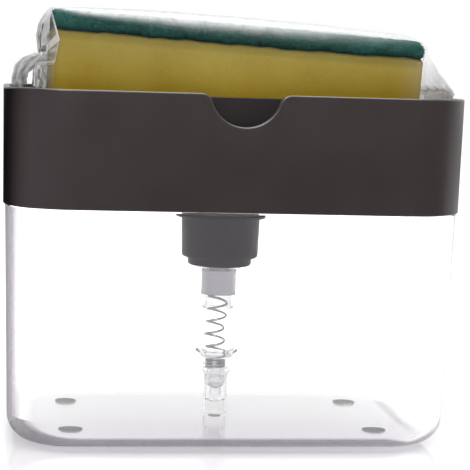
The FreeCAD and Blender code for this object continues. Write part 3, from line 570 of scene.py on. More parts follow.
def ball_material():
    """A small glass ball: clear in the middle with a grey outline, a painted shade where it turns away."""
    material, tree = new_material("ball_glass")
    seeds = maths(tree, "MULTIPLY", clouds(tree, here(tree), 900.0), 0.1)
    facing = add(tree, "ShaderNodeLayerWeight", {"Blend": 0.5}).outputs["Facing"]
    outline = ramp(tree, maths(tree, "ADD", facing, seeds), [(0.5, (0.02,) * 3), (0.9, (0.4,) * 3)])
    glass = add(tree, "ShaderNodeBsdfPrincipled", {"Base Color": (0.5, 0.5, 0.52, 1), "Roughness": 0.05})
    clear = plain_shader(tree, (0.97, 0.975, 0.98), "Transparent")
    add(tree, "ShaderNodeOutputMaterial", {"Surface": blend(tree, outline, clear, glass.outputs["BSDF"])})
    return material


def film_material():
    """Thin clear film: mostly see-through, milky where creased and where a painted highlight lies, and greyer
    where it lies in many folds, with painted shade in the hollows of its pleats.
    """
    material, tree = new_material("clear_film")
    crease_and_highlight = marked(tree, "crease_and_highlight")
    streaks = clouds(tree, here(tree), 120.0, detail=4.0, rough=0.55, twist=1.2)
    bump = add(tree, "ShaderNodeBump", {"Height": streaks, "Strength": 0.25, "Distance": 0.0006})
    normal = bump.outputs["Normal"]
    shine = add(tree, "ShaderNodeBsdfGlossy", {"Color": (1, 1, 1, 1), "Roughness": 0.14, "Normal": normal})
    edge = add(tree, "ShaderNodeFresnel", {"IOR": 1.14, "Normal": normal}).outputs["Fac"]
    weak = maths(tree, "MULTIPLY", edge, maths(tree, "MULTIPLY_ADD", crease_and_highlight, 1.5, 0.35, clamp=True))
    skin = blend(tree, weak, plain_shader(tree, (0.985, 0.985, 0.99), "Transparent"), shine.outputs["BSDF"])
    uneven = maths(tree, "MULTIPLY", maths(tree, "SUBTRACT", 0.5, streaks), 0.5)
    # The grey is partly layers of folds and partly painted shade in pleat hollows
    shade = maths(tree, "ADD", marked(tree, "folded"), uneven, clamp=True)
    tone = ramp(tree, shade, [(0.0, (0.97, 0.97, 0.98)), (0.5, (0.5, 0.51, 0.5)), (1.0, (0.16, 0.16, 0.155))])
    white = add(tree, "ShaderNodeBsdfPrincipled", {
        "Base Color": tone, "Roughness": 0.3, "Specular IOR Level": 0.6,
    })
    through = add(tree, "ShaderNodeBsdfTranslucent", {"Color": tone})
    cloudy = blend(tree, 0.6, white.outputs["BSDF"], through.outputs["BSDF"])
    glare = add(tree, "ShaderNodeBsdfGlossy", {"Color": tone, "Roughness": 0.35})
    lit = blend(tree, 0.2, cloudy, glare.outputs["BSDF"])
    # The milk is partly crease whitening and partly a painted highlight
    milk = maths(tree, "MULTIPLY", crease_and_highlight, over(tree, streaks, (0.4, 0.62), (0.75, 1.0)), clamp=True)
    add(tree, "ShaderNodeOutputMaterial", {"Surface": blend(tree, milk, skin, lit)})
    return material


frame_grey = plastic(
    "frame_plastic", (0.028, 0.0205, 0.0205), (0.0335, 0.025, 0.025), 0.34, gloss_mark="rim",
)
tray_grey = plastic(
    "tray_plastic", (0.012, 0.0085, 0.009), (0.015, 0.011, 0.0115), 0.36, extra={"Specular IOR Level": 0.3},
)
collar_grey = plastic(
    "collar_plastic", (0.021, 0.0135, 0.022), (0.026, 0.0175, 0.027), 0.42, depth=0.0,
    extra={"Specular IOR Level": 0.1},
)
foot_rubber = plastic("foot_rubber", (0.02, 0.018, 0.02), (0.03, 0.027, 0.03), 0.7, grain=1500.0, depth=0.15)
seal_rubber = plastic("seal_rubber", (0.02, 0.02, 0.02), (0.03, 0.03, 0.03), 0.6, grain=1500.0, depth=0.15)
milky = plastic(
    "natural_plastic", (0.88, 0.85, 0.87), (0.94, 0.92, 0.93), 0.4,
    extra={"Transmission Weight": 0.6, "IOR": 1.35},
)
clear_tank = clear_plastic("clear_tank", (0.86, 0.855, 0.865), 25.0, 0.01, edge=(0.165, 0.15, 0.17))
clear_pump = clear_plastic("clear_pump", (0.9, 0.9, 0.91), 40.0, 0.03, haze=0.02, bend=1.15, frost=[
    (0.0, 0.06), (12.5, 0.06), (14.0, 0.16), (20.8, 0.16), (21.6, 0.3), (23.2, 0.3), (24.2, 0.0),
    (47.9, 0.0), (48.3, 0.2), (60.0, 0.2),
])
clear_plug = clear_plastic("plug_plastic", (0.94, 0.93, 0.93), 20.0, 0.12, haze=0.12, bend=1.12)
frosted = clear_plastic("piston_plastic", (0.9, 0.88, 0.89), 60.0, 0.4, haze=0.5, bend=1.15)
ball_glass = ball_material()
steel = steel_material()
foam_yellow = foam_material()
scour_green = scour_material()
clear_film = film_material()


# Tank and frame
def make_tank():
    """The tank: its gate, a rounded lower edge, drawn walls, a neck inside the frame, and the hollow."""
    sole, floor, neck_top = 0.8, 2.6, 74.8
    outer_round, inner_round, flat, bevel = 8.0, 6.0, 0.4, 0.3
    shoulder_inset, shoulder_round, outer_draft = 1.05, 0.4, 1.7
    neck_inset, mouth_inset, inner_draft = 2.25, 3.85, 1.2
    outer_bend, inner_bend = sole + outer_round, floor + inner_round
    middle = (30.0, 50.0)
    shoulder = FRAME_FOOT - shoulder_round
    half_turn = 0.3 * shoulder_round

    def outer(z):
        return shoulder_inset + outer_draft * (FRAME_FOOT - z) / (FRAME_FOOT - sole)

    def inner(z):
        return mouth_inset + inner_draft * (neck_top - z) / (neck_top - floor)

    gate = rings([(1.7, 1.3), (2.0, 1.2), (2.0, sole), (2.1, sole)])
    foot = [wall(outer(outer_bend) + outer_round + flat, sole)]
    foot += wall_round(outer(outer_bend), outer_bend, outer_round, -90, 0, 19)
    sides = [wall(outer(z), z) for z in (outer_bend + bevel, *middle, shoulder - 0.1, shoulder)]
    neck = walls([
        (shoulder_inset + half_turn, FRAME_FOOT - half_turn), (shoulder_inset + shoulder_round, FRAME_FOOT),
        (neck_inset, FRAME_FOOT), (neck_inset, neck_top - bevel), (neck_inset + bevel, neck_top),
        (mouth_inset - bevel, neck_top), (mouth_inset, neck_top - bevel),
    ])
    hollow = [wall(inner(z), z) for z in (neck_top - 0.5, *reversed(middle), inner_bend + bevel)]
    hollow += wall_round(inner(inner_bend), inner_bend, inner_round, 0, -90, 15)
    hollow.append(wall(inner(inner_bend) + inner_round + flat, floor))
    loops = gate + foot + sides + neck + hollow
    tank = make_piece("tank_clear", *bridge(loops), clear_tank)

    # The edge tint is painted shade, strongest at the front left corner and weaker towards the right, with
    # more painted shade low on that corner
    x, y, z = np.vstack(loops).T
    rows = np.repeat(np.arange(len(loops)), len(PLAN))
    foot_row, side_row = len(gate), len(gate) + len(foot)
    round_part = (rows >= foot_row) & (rows < side_row)
    side_part = (rows >= side_row) & (rows < side_row + len(sides))
    left = fade(-x, 40.0, 55.0) * (0.62 + 0.38 * fade(-y, 22.0, 26.0))
    right = np.maximum(fade(-x, -60.0, -46.0), 0.58)
    near = fade(-x, 46.0, 57.0) * fade(-y, 5.0, 15.0)
    mark_points(tank, "turned", np.where(round_part, right + 0.5 * near, np.where(side_part, left, 0.0)))
    mark_points(tank, "sole", np.where(round_part, fade(-z, -outer_bend, 4.0 - outer_bend), 0.0))
    mark_points(tank, "gate", np.where(rows < foot_row - 1, 0.85, 0.0))
    mark_points(tank, "shade", np.where(round_part, -0.55 * near, 0.0))
    return tank


def make_frame():
    """The frame: an outer wall, a rounded rim with its notch, a deck, and a boss under it for the pump.

    Its marks give the rim its gloss and the front left corner its painted light and shade.
    """
    deck_top, deck_low, middle = 76.9, 75.1, 85.0
    well_radius, well_floor, well_bevel = 11.5, 67.6, 0.5
    boss_bore, boss_radius, boss_foot = 7.0, 10.0, 57.5
    cup_radius, cup_floor, cup_bevel = 13.4, 65.8, 0.3
    inner_inset, deck_bevel, foot_bevel = 2.26, 0.4, 0.25
    outside = walls([(DRAFT, FRAME_FOOT + foot_bevel), (0.42, FRAME_FOOT + 1.0), (0.25, middle)])
    rim = rim_round(0.0, 0.6, 0, 90, 7) + rim_round(1.3, 0.3, 90, 180, 4)
    inside = walls([
        (2.15, middle), (inner_inset, deck_top + deck_bevel), (inner_inset + deck_bevel, deck_top),
    ])
    bore = rings([
        (well_radius + well_bevel, deck_top), (well_radius, deck_top - well_bevel), (well_radius, well_floor),
        (boss_bore, well_floor), (boss_bore, boss_foot), (boss_radius, boss_foot), (boss_radius, cup_floor),
        (cup_radius - cup_bevel, cup_floor), (cup_radius, cup_floor + cup_bevel), (cup_radius, deck_low),
    ])
    under = walls([(1.88, deck_low), (1.95, FRAME_FOOT), (DRAFT + foot_bevel, FRAME_FOOT)])
    loops = outside + rim + inside + bore + under
    shell = make_piece("frame_shell", *bridge(loops, closed=True), frame_grey)

    # The rim shines, and the front left corner has painted light and shade, from paler to nearly black as it
    # turns away
    x, y, _ = np.vstack(loops).T
    rows = np.repeat(np.arange(len(loops)), len(PLAN))
    top = (rows > len(outside)) & (rows < len(outside) + len(rim) - 1)
    corner = fade(-y, 12.0, 24.0)
    mark_points(shell, "rim", np.where(top, 1.0, -0.66 * corner * fade(-x, 59.5, 65.0)))
    shade = np.interp(-x, (40, 50, 57, 60, 62.7, 64.6, 66.6), (0, 0.2, 0.5, 0.6, 0.05, -0.5, -0.96))
    mark_points(shell, "shade", np.where(top, 0.0, corner * shade))
    return shell


# Geometry nodes for what repeats or follows a path
def geometry_tree(name, inputs):
    """A geometry node tree with named inputs, and its input sockets."""
    tree = bpy.data.node_groups.new(name, "GeometryNodeTree")
    for label, kind in (("Geometry", "Geometry"), *inputs, ("Material", "Material")):
        tree.interface.new_socket(label, in_out="INPUT", socket_type="NodeSocket" + kind)
    tree.interface.new_socket("Geometry", in_out="OUTPUT", socket_type="NodeSocketGeometry")
    return tree, tree.nodes.new("NodeGroupInput").outputs


def painted(tree, geometry, given):
    """Ends a geometry node tree: instances made real, and the material set."""
    real = add(tree, "GeometryNodeRealizeInstances", {"Geometry": geometry})
    paint = add(tree, "GeometryNodeSetMaterial", {
        "Geometry": real.outputs["Geometry"], "Material": given["Material"],
    })
    add(tree, "NodeGroupOutput", {"Geometry": paint.outputs["Geometry"]})
    return tree


def strips_tree():
    """Lays a row of strips side by side on a plane."""
    sizes = [(label, "Float") for label in ("Pitch", "Length", "Width", "Height")]
    tree, given = geometry_tree("strip_row", [*sizes, ("Count", "Int"), ("Start", "Vector")])
    step = add(tree, "ShaderNodeCombineXYZ", {"X": given["Pitch"]})
    line = add(tree, "GeometryNodeMeshLine", {
        "Count": given["Count"], "Start Location": given["Start"], "Offset": step.outputs["Vector"],
    })
    size = add(tree, "ShaderNodeCombineXYZ", {
        "X": given["Width"], "Y": given["Length"], "Z": given["Height"],
    })
    strip = add(tree, "GeometryNodeMeshCube", {"Size": size.outputs["Vector"]})
    row = add(tree, "GeometryNodeInstanceOnPoints", {
        "Points": line.outputs["Mesh"], "Instance": strip.outputs["Mesh"],
    })
    return painted(tree, row.outputs["Instances"], given)


def wire_tree():
    """Sweeps a round wire along a line of points."""
    tree, given = geometry_tree("round_wire", [("Radius", "Float"), ("Sides", "Int")])
    curve = add(tree, "GeometryNodeMeshToCurve", {"Mesh": given["Geometry"]})
    circle = add(tree, "GeometryNodeCurvePrimitiveCircle", {
        "Resolution": given["Sides"], "Radius": given["Radius"],
    })
    tube = add(tree, "GeometryNodeCurveToMesh", {
        "Curve": curve.outputs["Curve"], "Profile Curve": circle.outputs["Curve"], "Fill Caps": True,
    })
    smooth = add(tree, "GeometryNodeSetShadeSmooth", {"Geometry": tube.outputs["Mesh"]})
    return painted(tree, smooth.outputs["Geometry"], given)


def fibre_tree():
    """Scatters short bent fibres over a face mesh."""
    lean, least, most, rise_share = 0.12, 0.6, 1.4, 0.12
    tree, given = geometry_tree("fibre_mat", [
        ("Length", "Float"), ("Thickness", "Float"), ("Count", "Float"), ("Seed", "Int"),
    ])
    spread = add(tree, "GeometryNodeDistributePointsOnFaces", {
        "Mesh": given["Geometry"], "Density": given["Count"], "Seed": given["Seed"],
    }).outputs
    half = maths(tree, "MULTIPLY", given["Length"], 0.5)
    rise = maths(tree, "MULTIPLY", given["Length"], rise_share)
    ends = {"Start": ("X", maths(tree, "MULTIPLY", half, -1.0)), "Middle": ("Z", rise), "End": ("X", half)}
    bend = add(tree, "GeometryNodeCurveQuadraticBezier", {"Resolution": 4, **{
        end: add(tree, "ShaderNodeCombineXYZ", {axis: value}).outputs["Vector"]
        for end, (axis, value) in ends.items()
    }})
    circle = add(tree, "GeometryNodeCurvePrimitiveCircle", {"Resolution": 3, "Radius": given["Thickness"]})
    fibre = add(tree, "GeometryNodeCurveToMesh", {
        "Curve": bend.outputs["Curve"], "Profile Curve": circle.outputs["Curve"], "Fill Caps": False,
    })
    spin = add(tree, "FunctionNodeRandomValue", {
        0: (-lean, -lean, 0.0), 1: (lean, lean, 6.283), "Seed": given["Seed"],
    }, data_type="FLOAT_VECTOR").outputs[0]
    size = add(tree, "FunctionNodeRandomValue", {
        2: least, 3: most, "Seed": given["Seed"],
    }, data_type="FLOAT").outputs[1]
    turned = add(tree, "FunctionNodeRotateRotation", {
        "Rotation": spread["Rotation"], "Rotate By": spin,
    }, rotation_space="LOCAL").outputs["Rotation"]
    mat = add(tree, "GeometryNodeInstanceOnPoints", {
        "Points": spread["Points"], "Instance": fibre.outputs["Mesh"], "Rotation": turned, "Scale": size,
    })
    real = add(tree, "GeometryNodeRealizeInstances", {"Geometry": mat.outputs["Instances"]})
    smooth = add(tree, "GeometryNodeSetShadeSmooth", {"Geometry": real.outputs["Geometry"]})
    both = add(tree, "GeometryNodeJoinGeometry")
    for part in (given["Geometry"], smooth.outputs["Geometry"]):
        tree.links.new(part, both.inputs["Geometry"])
    return painted(tree, both.outputs["Geometry"], given)


def plain_mesh(piece):
    """A piece's mesh as its modifiers leave it."""
    return bpy.data.meshes.new_from_object(piece.evaluated_get(bpy.context.evaluated_depsgraph_get()))


def grown(name, mesh, tree, inputs):
    """A plain mesh piece from a geometry node tree, with its named inputs set."""
    source = bpy.data.objects.new(name + "_source", mesh)
    bpy.context.scene.collection.objects.link(source)
    modifier = source.modifiers.new("nodes", "NODES")
    modifier.node_group = tree
    for item in tree.interface.items_tree:
        if item.in_out == "INPUT" and item.name in inputs:
            modifier[item.identifier] = inputs[item.name]
    result = plain_mesh(source)
    source.modifiers.remove(modifier)
    bpy.data.objects.remove(source)
    result.name = name
    piece = bpy.data.objects.new(name, result)
    bpy.context.scene.collection.objects.link(piece)
    return piece


# Tray: a pan with rounded edges, and bars and webs set out by rows
def tray_strips(name, tree, count, pitch, length, width, low, high, turned=False):
    """A row of the tray's bars or webs with rounded edges, across the tray or turned to run along it."""
    row = grown(name, bpy.data.meshes.new(name), tree, {
        "Pitch": pitch * MM, "Length": length * MM, "Width": width * MM, "Height": (high - low) * MM,
        "Count": count, "Start": (-pitch * (count - 1) / 2 * MM, 0, (low + high) / 2 * MM),
        "Material": tray_grey,
    })
    if turned:
        row.data.transform(Matrix.Rotation(math.pi / 2, 4, "Z"))
    edge = row.modifiers.new("edges", "BEVEL")
    edge.width = 0.3 * MM
    edge.segments = 2
    smooth = plain_mesh(row)
    row.modifiers.remove(edge)
    row.data = smooth
    smooth.shade_smooth()
    smooth.set_sharp_from_angle(angle=math.radians(SMOOTH_ANGLE))
    return row


def make_tray():
    """The press tray: its pan with the soap outlet, its bars, its webs and its hub, joined as one piece."""
    outer_inset, inner_inset, floor_round = 2.6, 4.2, 1.5
    edge_round, shoulder = 0.4, 102.1
    outlet_bore, outlet_rim, outlet_foot, outlet_top = 1.8, 4.2, 5.9, 95.0
    bevel, blend_radius, blend_rise = 0.2, 0.3, 0.15
    bar_sink, bar_rise, web_sink, hub_radius = 0.4, 1.0, 0.2, 5.5
    loops = rings([(outlet_bore, TRAY_UNDERSIDE)])
    loops += walls([
        (outer_inset + edge_round, TRAY_UNDERSIDE), (outer_inset, TRAY_UNDERSIDE + edge_round),
        (outer_inset, shoulder),
    ])
    loops += wall_round(outer_inset, shoulder, edge_round, 0, 90, 4)[1:]
    loops += wall_round(inner_inset - 2 * edge_round, shoulder, edge_round, 90, 180, 4)
    loops += wall_round(inner_inset, TRAY_FLOOR + floor_round, floor_round, 0, -90, 7)
    loops += rings([
        (outlet_foot + blend_radius, TRAY_FLOOR), (outlet_foot, TRAY_FLOOR + blend_rise),
        (outlet_rim, outlet_top - bevel), (outlet_rim - blend_radius, outlet_top),
        (outlet_bore + bevel, outlet_top), (outlet_bore, outlet_top - bevel),
    ])
    pan = make_piece("tray_pan", *bridge(loops, closed=True), tray_grey)

    tree = strips_tree()
    web_top, hub_top = TRAY_UNDERSIDE + web_sink, TRAY_UNDERSIDE + edge_round
    rows = [
        tray_strips(
            "tray_bars", tree, count=10, pitch=11.5, length=67.6, width=1.6,
            low=TRAY_FLOOR - bar_sink, high=TRAY_FLOOR + bar_rise,
        ),
        tray_strips(
            "tray_cross_webs", tree, count=5, pitch=22.0, length=83.6, width=1.4, low=WEB_FOOT, high=web_top,
        ),
        tray_strips(
            "tray_long_webs", tree, count=3, pitch=24.0, length=126.6, width=1.4, low=WEB_FOOT, high=web_top,
            turned=True,
        ),
    ]
    hub = lathe("tray_hub", [
        (STEM_RADIUS, HUB_FOOT), (hub_radius, HUB_FOOT), (hub_radius, hub_top), (STEM_RADIUS, hub_top),
    ], tray_grey)

    bpy.ops.object.select_all(action="DESELECT")
    for piece in (pan, *rows, hub):
        piece.select_set(True)
    bpy.context.view_layer.objects.active = pan
    bpy.ops.object.join()
    pan.name = "press_tray_shell"
    return pan


# Pump
def make_collar():
    """The screw collar: thread bore, neck bore, a stepped foot and a thin flange."""
    thread_bore, neck_bore, foot, top = 10.3, 6.95, 50.0, 65.7
    step_radius, step_top, bevel = 9.85, 52.5, 0.5
    skirt_low, skirt_high, flange, flange_low = 11.8, 12.1, 13.9, 64.8
    return lathe("collar", [
        (thread_bore, top), (thread_bore, BARREL_LEDGE), (neck_bore, BARREL_LEDGE), (neck_bore, foot),
        (step_radius - bevel, foot), (step_radius, foot + bevel), (step_radius, step_top),
        (skirt_low - bevel, step_top), (skirt_low, step_top + bevel), (skirt_high, flange_low),
        (flange, flange_low), (flange, top),
    ], collar_grey, radius=0.2)


def make_barrel():
    """The barrel: flange, bore and shoulder, the spring's well, the ball's room and seat, and the inlet."""
    bore, outside, flange, flange_top = 5.55, 6.65, 10.0, 56.3
    well_bore, well_radius, slope = 3.75, 4.55, 1.8
    shoulder, outer_shoulder = 22.3, 21.2
    neck, room, room_top, seat, inlet = 1.9, 2.5, 16.9, 11.44, 1.5
    nipple, foot = 3.05, 7.34
    return lathe("barrel", [
        (bore, flange_top), (bore, shoulder + slope), (well_bore, shoulder), (well_bore, SPRING_SEAT),
        (neck, SPRING_SEAT), (neck, room_top), (room, room_top), (room, seat + room - inlet), (inlet, seat),
        (inlet, foot), (nipple, foot), (nipple, TUBE_TOP), (TUBE_RADIUS, TUBE_TOP), (well_radius, room_top),
        (well_radius, outer_shoulder), (outside, outer_shoulder + slope), (outside, BARREL_LEDGE),
        (flange, BARREL_LEDGE), (flange, flange_top),
    ], clear_pump, radius=0.3)


def make_tube():
    """The dip tube, pushed up to the barrel's shoulder."""
    bore, foot = 3.11, 3.4
    return lathe("tube", [
        (bore, foot), (TUBE_RADIUS, foot), (TUBE_RADIUS, TUBE_TOP), (bore, TUBE_TOP),
    ], clear_pump, radius=0.1)


def make_plug():
    """The stem's plug: a skirt round the spring's top, a neck for the piston, and a socket for the stem."""
    skirt_bore, skirt, skirt_foot = 3.85, 4.95, 36.6
    spring_bore, roof, neck = 3.55, 43.4, 4.1
    port, port_floor, socket_floor = 1.8, 45.0, 47.0
    return lathe("plug", [
        (skirt_bore, skirt_foot), (skirt, skirt_foot), (skirt, PISTON_FOOT), (neck, PISTON_FOOT),
        (neck, PISTON_TOP), (STEM_RADIUS, PISTON_TOP), (STEM_RADIUS, socket_floor), (port, socket_floor),
        (port, port_floor), (0, port_floor), (0, roof), (spring_bore, roof), (spring_bore, PISTON_FOOT),
    ], clear_plug, radius=0.2)


def make_piston():
    """The piston seal: a sleeve with a lip at each end."""
    bore, lip, waist = 4.16, 5.5, 5.36
    lower_lip, lower_slope, upper_lip, upper_slope = 0.5, 0.5, 0.3, 0.4
    return lathe("piston", [
        (bore, PISTON_FOOT), (lip, PISTON_FOOT), (lip, PISTON_FOOT + lower_lip),
        (waist, PISTON_FOOT + lower_lip + lower_slope), (waist, PISTON_TOP - upper_lip - upper_slope),
        (lip, PISTON_TOP - upper_lip), (lip, PISTON_TOP), (bore, PISTON_TOP),
    ], frosted, radius=0.15)


def make_ball():
    """The inlet ball on its seat."""
    centre, radius, rows = 13.19, 2.2, 24
    angles = np.linspace(0, math.pi, rows + 1)
    outline = [(radius * math.sin(a), centre - radius * math.cos(a)) for a in angles]
    outline[0], outline[-1] = (0, centre - radius), (0, centre + radius)
    return lathe("ball", outline, ball_glass, radius=0, steps=48)


def make_spring():
    """The return spring: closed turns at both ends, open turns between, and a slight bow to the left."""
    mean, low, high, closed = 2.9, 17.95, 42.95, 0.8
    below, open_turns, above, steps_per_turn = 3.0, 5.5, 1.0, 48
    lean, lean_top, lean_reach = 0.25, PISTON_FOOT, 5.0
    bow, bow_level, bow_reach = 0.75, 29.0, 3.0
    pitch = (high - low - closed * (below + above)) / open_turns
    turns = below + open_turns + above
    steps = int(turns * steps_per_turn)
    points = []
    for step in range(steps + 1):
        done = turns * step / steps
        flat_low = min(done, below)
        flat_high = max(done - below - open_turns, 0)
        z = low + closed * (flat_low + flat_high) + pitch * (done - flat_low - flat_high)
        a = 2 * math.pi * done + math.pi
        shift = -lean * min(max((lean_top - z) / lean_reach, 0.0), 1.0)
        shift -= bow * math.exp(-(((z - bow_level) / bow_reach) ** 2))
        points.append(((mean * math.cos(a) + shift) * MM, mean * math.sin(a) * MM, z * MM))
    mesh = bpy.data.meshes.new("spring_line")
    mesh.from_pydata(points, [(i, i + 1) for i in range(steps)], [])
    return grown("spring", mesh, wire_tree(), {"Radius": WIRE_RADIUS * MM, "Sides": 14, "Material": steel})


# Sponge
def slab(low, high, edge, cells):
    """A block of the sponge with rounded edges as a fine grid of points and faces, in the sponge's frame."""
    nx, ny, nz = cells
    keys, points, faces = {}, [], []

    def place(i, j, k):
        if (i, j, k) not in keys:
            keys[(i, j, k)] = len(points)
            x = SPONGE_HALF * (2 * i / nx - 1)
            y = SPONGE_DEEP * (2 * j / ny - 1)
            points.append((x, y, low(x) + (high(x) - low(x)) * k / nz))
        return keys[(i, j, k)]

    for i in range(nx):
        for j in range(ny):
            faces.append((place(i, j, 0), place(i, j + 1, 0), place(i + 1, j + 1, 0), place(i + 1, j, 0)))
            faces.append((place(i, j, nz), place(i + 1, j, nz), place(i + 1, j + 1, nz), place(i, j + 1, nz)))
    for i in range(nx):
        for k in range(nz):
            faces.append((place(i, 0, k), place(i + 1, 0, k), place(i + 1, 0, k + 1), place(i, 0, k + 1)))
            faces.append((place(i, ny, k), place(i, ny, k + 1), place(i + 1, ny, k + 1), place(i + 1, ny, k)))
    for j in range(ny):
        for k in range(nz):
            faces.append((place(0, j, k), place(0, j, k + 1), place(0, j + 1, k + 1), place(0, j + 1, k)))
            faces.append((place(nx, j, k), place(nx, j + 1, k), place(nx, j + 1, k + 1), place(nx, j, k + 1)))
    inner_x, inner_y = SPONGE_HALF - SPONGE_CORNER, SPONGE_DEEP - SPONGE_CORNER
    result = []
    for x, y, z in points:
        over_x, over_y = abs(x) - inner_x, abs(y) - inner_y
        if over_x > 0 and over_y > 0:
            shrink = max(over_x, over_y) / math.hypot(over_x, over_y)
            x = math.copysign(inner_x + over_x * shrink, x)
            y = math.copysign(inner_y + over_y * shrink, y)
        near = min(z - low(x), high(x) - z)
        if near < edge:
            pull = edge - math.sqrt(max(edge ** 2 - (edge - near) ** 2, 0))
            x -= math.copysign(min(pull, abs(x)), x) * (abs(x) > SPONGE_HALF - 2 * edge)
            y -= math.copysign(min(pull, abs(y)), y) * (abs(y) > SPONGE_DEEP - 2 * edge)
        result.append((x, y, z))
    return np.array(result), faces


def seam(x):
    """Height of the seam between foam and scouring layer: it waves a little and rises to the right."""
    rise = 0.7 * max(x / SPONGE_HALF, 0.0) ** 2
    return FOAM_TOP - 0.1 + rise + 0.12 * math.sin(x * 0.31) + 0.1 * math.sin(x * 0.8 + 1.0)


def pad_top(x):
    """Height of the pad's upper face, which falls off at its right end."""
    fall, fall_start = 0.55, 51.4
    return PAD_TOP - fall * max(x - fall_start, 0) ** 1.2


def jittered(points, size, scale, seed):
    """Places moved a little by smooth noise of a fixed seed."""
    noise.seed_set(seed)
    shift = Vector((seed * 7.3, seed * 3.1, seed * 1.7))
    return np.array([
        np.array(p) + size * np.array(noise.noise_vector(Vector(p) * scale + shift)) for p in points
    ])


def make_foam():
    """The yellow foam, from its flat underside to the seam."""
    points, faces = slab(lambda x: 0.0, seam, edge=0.8, cells=(108, 70, 20))
    points = jittered(points, size=0.1, scale=0.35, seed=1)
    return make_piece("foam", tilted(points), faces, foam_yellow, angle=70)


def make_pad():
    """The green scouring layer, with loose fibres all over it."""
    points, faces = slab(seam, pad_top, edge=0.7, cells=(108, 70, 6))
    points = jittered(points, size=0.15, scale=0.5, seed=2)
    points = jittered(points, size=0.12, scale=1.7, seed=3)
    base = make_piece("scour_base", tilted(points), faces, scour_green, angle=80)
    mesh = base.data
    bpy.data.objects.remove(base)
    return grown("scour", mesh, fibre_tree(), {
        "Length": 2.4 * MM, "Thickness": 0.05 * MM, "Count": 260000.0, "Seed": 5, "Material": scour_green,
    })


# Film: each part gives its points, its faces and a mark of milk and grey for each point, the milk partly a
# painted highlight and the grey partly painted shade
def film_sleeve():
    """The film round the sponge: tight, but for a roll along its front top edge and an arch over its top."""
    steps, low_milk = 120, 0.2
    front, back = -SPONGE_DEEP - FILM_FRONT, SPONGE_DEEP + FILM_BACK
    rows, marks = [], []
    for x in np.linspace(-SPONGE_HALF - FILM_END, SPONGE_HALF + FILM_END, steps):
        # Along the sponge: how far the film swells, how milky its painted highlight makes it, and how far
        # down that highlight reaches
        swell = np.interp(x, (-54, -45, -25, -2, 28, 47, 53), (0, 0.9, 1.8, 2.2, 2.1, 1.4, 0))
        glare = np.interp(x, (-54, -49, -40, -20, 5, 25, 40, 53), (0, 0.75, 0.95, 0.95, 0.9, 0.65, 0.35, 0))
        soft = np.interp(x, (-50, -15), (1.7, 3.8))
        lower = np.interp(x, (-52, -46, 20, 45), (0, 0.55, 0.55, 0.15))
        low_right = low_milk * fade(x, 46, 54)
        top = pad_top(x) + FILM_OVER
        loop = [
            (front, -FILM_UNDER), (front, 8), (front, 16), (front - 0.1 * swell, 20),
            (front - 0.3 * swell, top - 2.2), (front + 0.1 * swell, top - 0.2 + 0.35 * swell),
            (front + 1.8, top + 0.8 * swell), (front + 5, top + swell), (front + 12, top + swell),
            (0, top + 0.8 * swell), (20, top + 0.4 * swell), (back - 1, top), (back, top - 1),
            (back, 12), (back, -FILM_UNDER), (15, -FILM_UNDER), (-15, -FILM_UNDER),
        ]
        for _ in range(3):
            loop = [
                tuple(np.array(one) * (1 - t) + np.array(two) * t)
                for one, two in zip(loop, loop[1:] + loop[:1]) for t in (0.25, 0.75)
            ]
        rows.append([(x, y, z) for y, z in loop])
        for y, z in loop:
            # A painted highlight along the front top edge, and a faint milk low on the right end
            upper = fade(z, top - soft - lower, top - 0.2 - lower)
            milk = glare * upper * upper * fade(-y, -4, 26)
            marks.append((max(milk, low_right if z < FOAM_TOP and y < 0 else 0.0), 0.0))
    points, faces = bridge(rows)
    points = jittered(points, size=0.12, scale=0.2, seed=4)
    points = jittered(points, size=0.05, scale=0.8, seed=5)
    return tilted(points), faces[:-2], marks


def film_end(side, heights, reach, spread, pinch, ripple, marks_at):
    """The film folded over one end of the sponge, with pleats that run to a pinch."""
    upright_steps, across_steps, calm, greyest = 54, 96, 6.0, 0.68
    half = SPONGE_DEEP + FILM_FRONT
    rows, marks = [], []
    for z in np.linspace(-FILM_UNDER, pad_top(side * SPONGE_HALF) + FILM_END, upright_steps):
        bulge = np.interp(z, heights, reach)
        row = []
        for y in np.linspace(-half, half, across_steps):
            across = max(1 - (abs(y) / half) ** spread, 0.0)
            far = math.hypot(y - pinch[0], z - pinch[1])
            angle = math.atan2(z - pinch[1], y - pinch[0])
            pleat = math.sin(11 * angle) + 0.6 * math.sin(23 * angle + 1.0) + 0.5 * math.sin(37 * angle + 2.0)
            pleat *= ripple * min(far / calm, 1.0) * across
            row.append((side * (SPONGE_HALF + FILM_END + bulge * across + pleat), y, z))
            # Pleat crests get a painted highlight and pleat hollows a painted shade
            milk, grey = marks_at(z)
            marks.append((min(milk + 0.3 * max(pleat, 0.0), 1.0), min(max(grey - 0.8 * pleat, 0.0), greyest)))
        rows.append(row)
    points, faces = sheet(rows)
    return tilted(jittered(points, size=0.35, scale=0.3, seed=6)), faces, marks


def film_patch(corners, swell, marks_at, cells=14):
    """A fold of film between four corners, with its mark given over both of its sides."""
    one, two, three, four = [np.array(corner, float) for corner in corners]
    rows, marks = [], []
    for u in np.linspace(0, 1, cells + 1):
        row = []
        for v in np.linspace(0, 1, cells + 1):
            point = (one * (1 - u) + two * u) * (1 - v) + (four * (1 - u) + three * u) * v
            point[1] -= swell * math.sin(math.pi * u) * math.sin(math.pi * v)
            row.append(tuple(point))
            marks.append(marks_at(u, v))
        rows.append(row)
    points, faces = sheet(rows)
    return np.array(points), faces, marks


